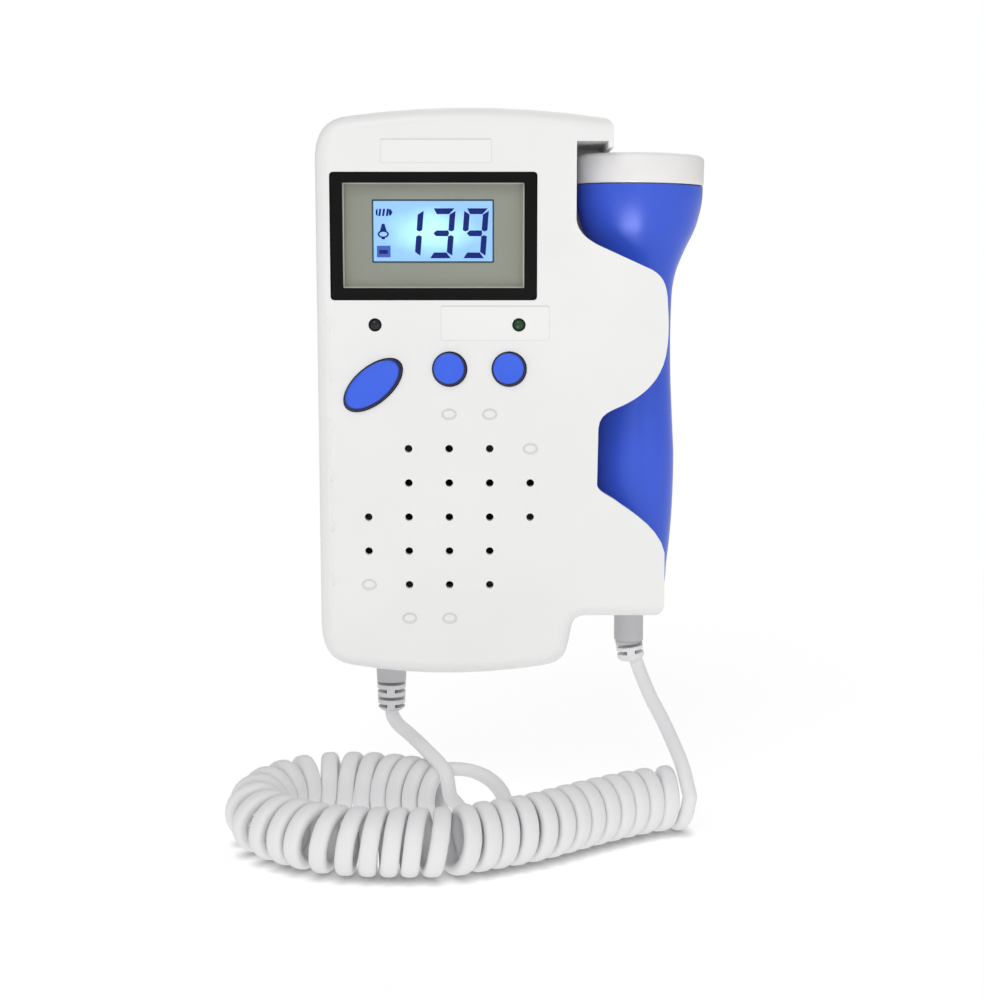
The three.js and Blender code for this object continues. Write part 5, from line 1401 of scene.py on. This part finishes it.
class DOPPLER_OT_reliefs(bpy.types.Operator):
    """Finishes the two strain reliefs"""

    bl_idname = "doppler.reliefs"
    bl_label = "Strain reliefs"

    def execute(self, context):
        # The collars' greys are painted shade.
        collar_shades = {"unit": settings("doppler_housing").relief_collar_shade, "probe": "BDBDC0"}
        for side, (body, collar_foot, moved, ribs, (low, high)) in RELIEFS.items():
            # Soft PVC overmould: satin and a little greyer than the shells, with painted shade that makes
            # it greyest on its collar and darkens its slots.
            soft = moulded_plastic(
                f"soft_pvc_{side}_relief", ribs, roughness=0.5, grain=0.3 * MM, bump=0.2, cloud=0.03,
                ior=PVC_IOR, collar_shade=(collar_shades[side], low * MM, high * MM),
            )
            copy_of_node(
                f"{side}_strain_relief", f"{side}_relief", soft, body, RELIEF_EDGE,
                ribs_moved(collar_foot, *moved),
            )
        return {"FINISHED"}


# The cross recess of a case screw, in millimetres: its reach, half the width of an arm and its depth
CROSS_ARM = 1.4
CROSS_HALF_WIDTH = 0.4
CROSS_DEPTH = 1.8


def cross_headed(node, steel):
    """A case screw with the cross recess in its head, which faces the back."""
    screw = copy_of_node(node, f"{node}_cross_headed", steel, "housing")
    centre, back = middle_of(node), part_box(node)[1].y
    arm, half = CROSS_ARM, CROSS_HALF_WIDTH
    quarter = [(arm, -half), (arm, half), (half, half)]
    outline = []
    for _ in range(4):
        outline += [(centre.x + x * MM, centre.z + z * MM) for x, z in quarter]
        quarter = [(-z, x) for x, z in quarter]
    cut_with(screw, flat_plate(outline, back - CROSS_DEPTH * MM, back + CROSS_DEPTH * MM))


class DOPPLER_OT_insides(bpy.types.Operator):
    """Gives the pieces inside the unit and its screws their finishes"""

    bl_idname = "doppler.insides"
    bl_label = "Inside pieces"

    def execute(self, context):
        # Green solder mask on glass-fibre board: satin, with the weave as a faint mottle.
        board = speckled("fr4_solder_mask", "17603A", "1F7447", 1.2 * MM, roughness=0.4, bump=0.15)
        # Nickel plate on wire and screws: bright, with fine drawing streaks.
        steel = plated_metal("nickel_plated_steel", "B9BCC0", roughness=0.28, grain=0.4 * MM)
        # Zinc plate on pressed sheet: greyer and duller.
        basket = plated_metal("stamped_steel_basket", "9EA1A5", roughness=0.36, grain=0.6 * MM)
        # Black nylon of the switches: matte, with a soft mottle.
        keys = moulded_plastic(
            "moulded_nylon_black", "1C1C1E", roughness=0.5, grain=0.3 * MM, bump=0.1, cloud=0.05
        )
        # Pressed black paper and closed-cell foam: no shine, only their grain and their pores.
        paper = speckled("black_cone_paper", "0B0B0C", "161617", 0.35 * MM, roughness=0.95, bump=0.4)
        foam = speckled("eva_foam", "1C1D1F", "2A2B2E", 0.5 * MM, roughness=0.95, bump=0.5)
        sleeve = battery_sleeve()
        finishes = {
            "main_board": board,
            "probe_board": board,
            "speaker_frame": basket,
            "speaker_cone": paper,
            "speaker_gasket": foam,
            "power_switch": keys,
            "volume_down_switch": keys,
            "volume_up_switch": keys,
            "battery_cell_left": sleeve,
            "battery_cell_right": sleeve,
            "battery_bridge_contact": steel,
            "battery_spring_left": steel,
            "battery_spring_right": steel,
        }
        for node in NODES:
            if node.startswith("board_screw"):
                finishes[node] = steel
            if node.startswith("case_screw"):
                cross_headed(node, steel)
        for node, material in finishes.items():
            dress(NODES[node], material)
        return {"FINISHED"}


# Studio, with places and sizes in metres

# Where the floor starts to fade into the backdrop and where it has gone, how far it reaches, and how near
# a thing has to be to cast a painted contact shadow on it
FLOOR_NEAR, FLOOR_FAR = 0.12, 0.4
FLOOR_RADIUS = 6.0
CONTACT_SHADOW_REACH = 3 * MM
# Strengths of the light that the floor shows and sends back, and of the light from all round
FLOOR_LIFT = 0.78
FLOOR_BOUNCE = 0.9
SKY = 0.52
# Soft boxes: place, side of the square, power in watts, and whether gloss shows them
SOFT_BOXES = {
    "key": ((-0.35, -1.1, 1.1), 0.9, 5.2, True),
    "fill": ((0.9, -1.0, 0.3), 0.9, 1.1, True),
    "front": ((0.0, -1.4, 0.0), 0.5, 4.1, False),
    "back": ((0.2, 0.9, 0.9), 0.8, 2, True),
}
SOFT_BOX_AIM = (0.01, 0, 0)
# Three small lamps in a row, 36 mm apart, that the gloss of the probe's head shows as one highlight
GLINT_MIDDLE = Vector((-0.022, -0.203, -0.082))
GLINT_ACROSS = Vector((0.936, -0.352, 0)) * 36 * MM
GLINT_AIM = (0.042, -0.033, 0.042)
GLINT_RADIUS = 18 * MM
GLINT_POWER = 0.5
GLINT_BEAM = math.radians(15)
# The camera, from its fit to the photograph: lens and sensor in millimetres, and its place
LENS = 61.28
SENSOR = 36.0
CAMERA_X, CAMERA_Z = 11 * MM, 31.5 * MM
NEAREST, FURTHEST = 10 * MM, 50


def floor_material(hex_text):
    """Matte white paper near the unit, that fades to a plain white backdrop further out."""
    material, tree, place = start_material("paper_sweep")
    flat = put(tree, "ShaderNodeVectorMath", {1: (1.0, 1.0, 0.0)}, {0: place}, operation="MULTIPLY")
    away = put(tree, "ShaderNodeVectorMath", links={0: flat}, operation="LENGTH")
    fade = put(
        tree,
        "ShaderNodeMapRange",
        {"From Min": FLOOR_NEAR, "From Max": FLOOR_FAR},
        {"Value": away.outputs["Value"]},
        interpolation_type="SMOOTHSTEP",
    )
    rays = put(tree, "ShaderNodeLightPath").outputs
    seen = put(
        tree,
        "ShaderNodeMath",
        links={0: rays["Is Camera Ray"], 1: rays["Is Glossy Ray"]},
        operation="MAXIMUM",
    )
    paper = put(tree, "ShaderNodeBsdfDiffuse", {"Color": linear("959595")})
    # Painted contact shadow: the paper's glow is held back where something touches it.
    shade = put(tree, "ShaderNodeAmbientOcclusion", {"Distance": CONTACT_SHADOW_REACH}, samples=6)
    lift = put(tree, "ShaderNodeEmission", {"Strength": FLOOR_LIFT}, {"Color": shade})
    near_floor = put(tree, "ShaderNodeAddShader", links={0: paper, 1: lift})
    glow = put(tree, "ShaderNodeEmission", {"Color": linear(hex_text), "Strength": 1.0})
    shown = put(tree, "ShaderNodeMixShader", links={0: fade, 1: near_floor, 2: glow})
    bounce = put(tree, "ShaderNodeEmission", {"Color": linear(hex_text), "Strength": FLOOR_BOUNCE})
    mix = put(tree, "ShaderNodeMixShader", links={0: seen, 1: bounce, 2: shown})
    put(tree, "ShaderNodeOutputMaterial", links={"Surface": mix})
    return material


def studio_world(hex_text):
    """Even pale light from all round, and a plain white behind what the camera sees."""
    world = bpy.data.worlds.new("white_studio")
    world.use_nodes = True
    tree = world.node_tree
    tree.nodes.clear()
    rays = put(tree, "ShaderNodeLightPath").outputs
    seen = put(
        tree,
        "ShaderNodeMath",
        links={0: rays["Is Camera Ray"], 1: rays["Is Transmission Ray"]},
        operation="MAXIMUM",
    )
    light = put(tree, "ShaderNodeBackground", {"Color": linear("FFFFFF"), "Strength": SKY})
    white = put(tree, "ShaderNodeBackground", {"Color": linear(hex_text), "Strength": 1.0})
    mix = put(tree, "ShaderNodeMixShader", links={0: seen, 1: light, 2: white})
    put(tree, "ShaderNodeOutputWorld", links={"Surface": mix})
    bpy.context.scene.world = world


def lamp_at(name, kind, place, aim, power, **fields):
    """A lamp that looks at a point."""
    lamp = bpy.data.lights.new(name, kind)
    lamp.energy = power
    for field, value in fields.items():
        setattr(lamp, field, value)
    obj = bpy.data.objects.new(name, lamp)
    obj.location = place
    obj.rotation_euler = (Vector(aim) - Vector(place)).to_track_quat("-Z", "Y").to_euler()
    bpy.context.scene.collection.objects.link(obj)
    return obj


class DOPPLER_OT_camera(bpy.types.Operator):
    """Stands the camera where the photograph was taken from"""

    bl_idname = "doppler.camera"
    bl_label = "Camera"

    def execute(self, context):
        stage = settings("doppler_stage")
        lens = bpy.data.cameras.new("camera")
        lens.sensor_fit = "HORIZONTAL"
        lens.sensor_width = SENSOR
        lens.lens = LENS
        lens.clip_start = NEAREST
        lens.clip_end = FURTHEST
        camera = bpy.data.objects.new("camera", lens)
        camera.location = (CAMERA_X, -stage.camera_distance, CAMERA_Z)
        camera.rotation_euler = (math.pi / 2 - stage.pitch, 0, 0)
        context.scene.collection.objects.link(camera)
        context.scene.camera = camera
        return {"FINISHED"}


class DOPPLER_OT_stage(bpy.types.Operator):
    """Lays the floor and sets up plain soft studio light"""

    bl_idname = "doppler.stage"
    bl_label = "Stage"

    def execute(self, context):
        stage = settings("doppler_stage")
        shape = bmesh.new()
        bmesh.ops.create_circle(shape, cap_ends=True, segments=64, radius=FLOOR_RADIUS)
        bmesh.ops.translate(shape, verts=shape.verts, vec=(0, 0, -stage.floor_depth))
        object_from(shape, "floor", floor_material(stage.backdrop))
        studio_world(stage.backdrop)
        for name, (place, side, power, in_gloss) in SOFT_BOXES.items():
            box = lamp_at(name, "AREA", place, SOFT_BOX_AIM, power, shape="SQUARE", size=side)
            box.visible_glossy = in_gloss
        for step in (-1, 0, 1):
            glint = lamp_at(
                "glint", "SPOT", GLINT_MIDDLE + GLINT_ACROSS * step, GLINT_AIM, GLINT_POWER,
                shadow_soft_size=GLINT_RADIUS, spot_size=GLINT_BEAM, spot_blend=0.6,
            )
            glint.visible_diffuse = False
            glint.visible_camera = False
        context.scene.view_settings.view_transform = "Standard"
        return {"FINISHED"}


class DOPPLER_PT_panel(bpy.types.Panel):
    """Lists the settings and the pieces in the sidebar"""

    bl_idname = "DOPPLER_PT_panel"
    bl_label = "Fetal doppler monitor"
    bl_space_type = "VIEW_3D"
    bl_region_type = "UI"
    bl_category = "Doppler"

    def draw(self, context):
        for name, group, operators in PARTS:
            box = self.layout.box()
            for field in group.__annotations__:
                box.prop(settings(name), field)
            for operator in operators:
                box.operator(operator.bl_idname)


# Each group of settings, with the operators that the panel lists under it
PARTS = (
    ("doppler_stage", DopplerStageSettings, (DOPPLER_OT_camera, DOPPLER_OT_stage)),
    ("doppler_cord", DopplerCordSettings, (DOPPLER_OT_cord,)),
    (
        "doppler_housing",
        DopplerHousingSettings,
        (
            DOPPLER_OT_shells, DOPPLER_OT_plates, DOPPLER_OT_dimples, DOPPLER_OT_reliefs,
            DOPPLER_OT_insides,
        ),
    ),
    ("doppler_display", DopplerDisplaySettings, (DOPPLER_OT_display,)),
    ("doppler_buttons", DopplerButtonSettings, (DOPPLER_OT_buttons,)),
    ("doppler_probe", DopplerProbeSettings, (DOPPLER_OT_probe,)),
)


def register():
    for name, group, operators in PARTS:
        bpy.utils.register_class(group)
        setattr(bpy.types.Scene, name, bpy.props.PointerProperty(type=group))
        for operator in operators:
            bpy.utils.register_class(operator)
    bpy.utils.register_class(DOPPLER_PT_panel)


def unregister():
    bpy.utils.unregister_class(DOPPLER_PT_panel)
    for name, group, operators in reversed(PARTS):
        for operator in reversed(operators):
            bpy.utils.unregister_class(operator)
        delattr(bpy.types.Scene, name)
        bpy.utils.unregister_class(group)


def main():
    register()
    bpy.ops.doppler.camera()
    bpy.ops.doppler.cord()
    bpy.ops.doppler.shells()
    bpy.ops.doppler.plates()
    bpy.ops.doppler.dimples()
    bpy.ops.doppler.reliefs()
    bpy.ops.doppler.insides()
    bpy.ops.doppler.display()
    bpy.ops.doppler.buttons()
    bpy.ops.doppler.probe()
    bpy.ops.doppler.stage()


if __name__ == "__main__":
    main()
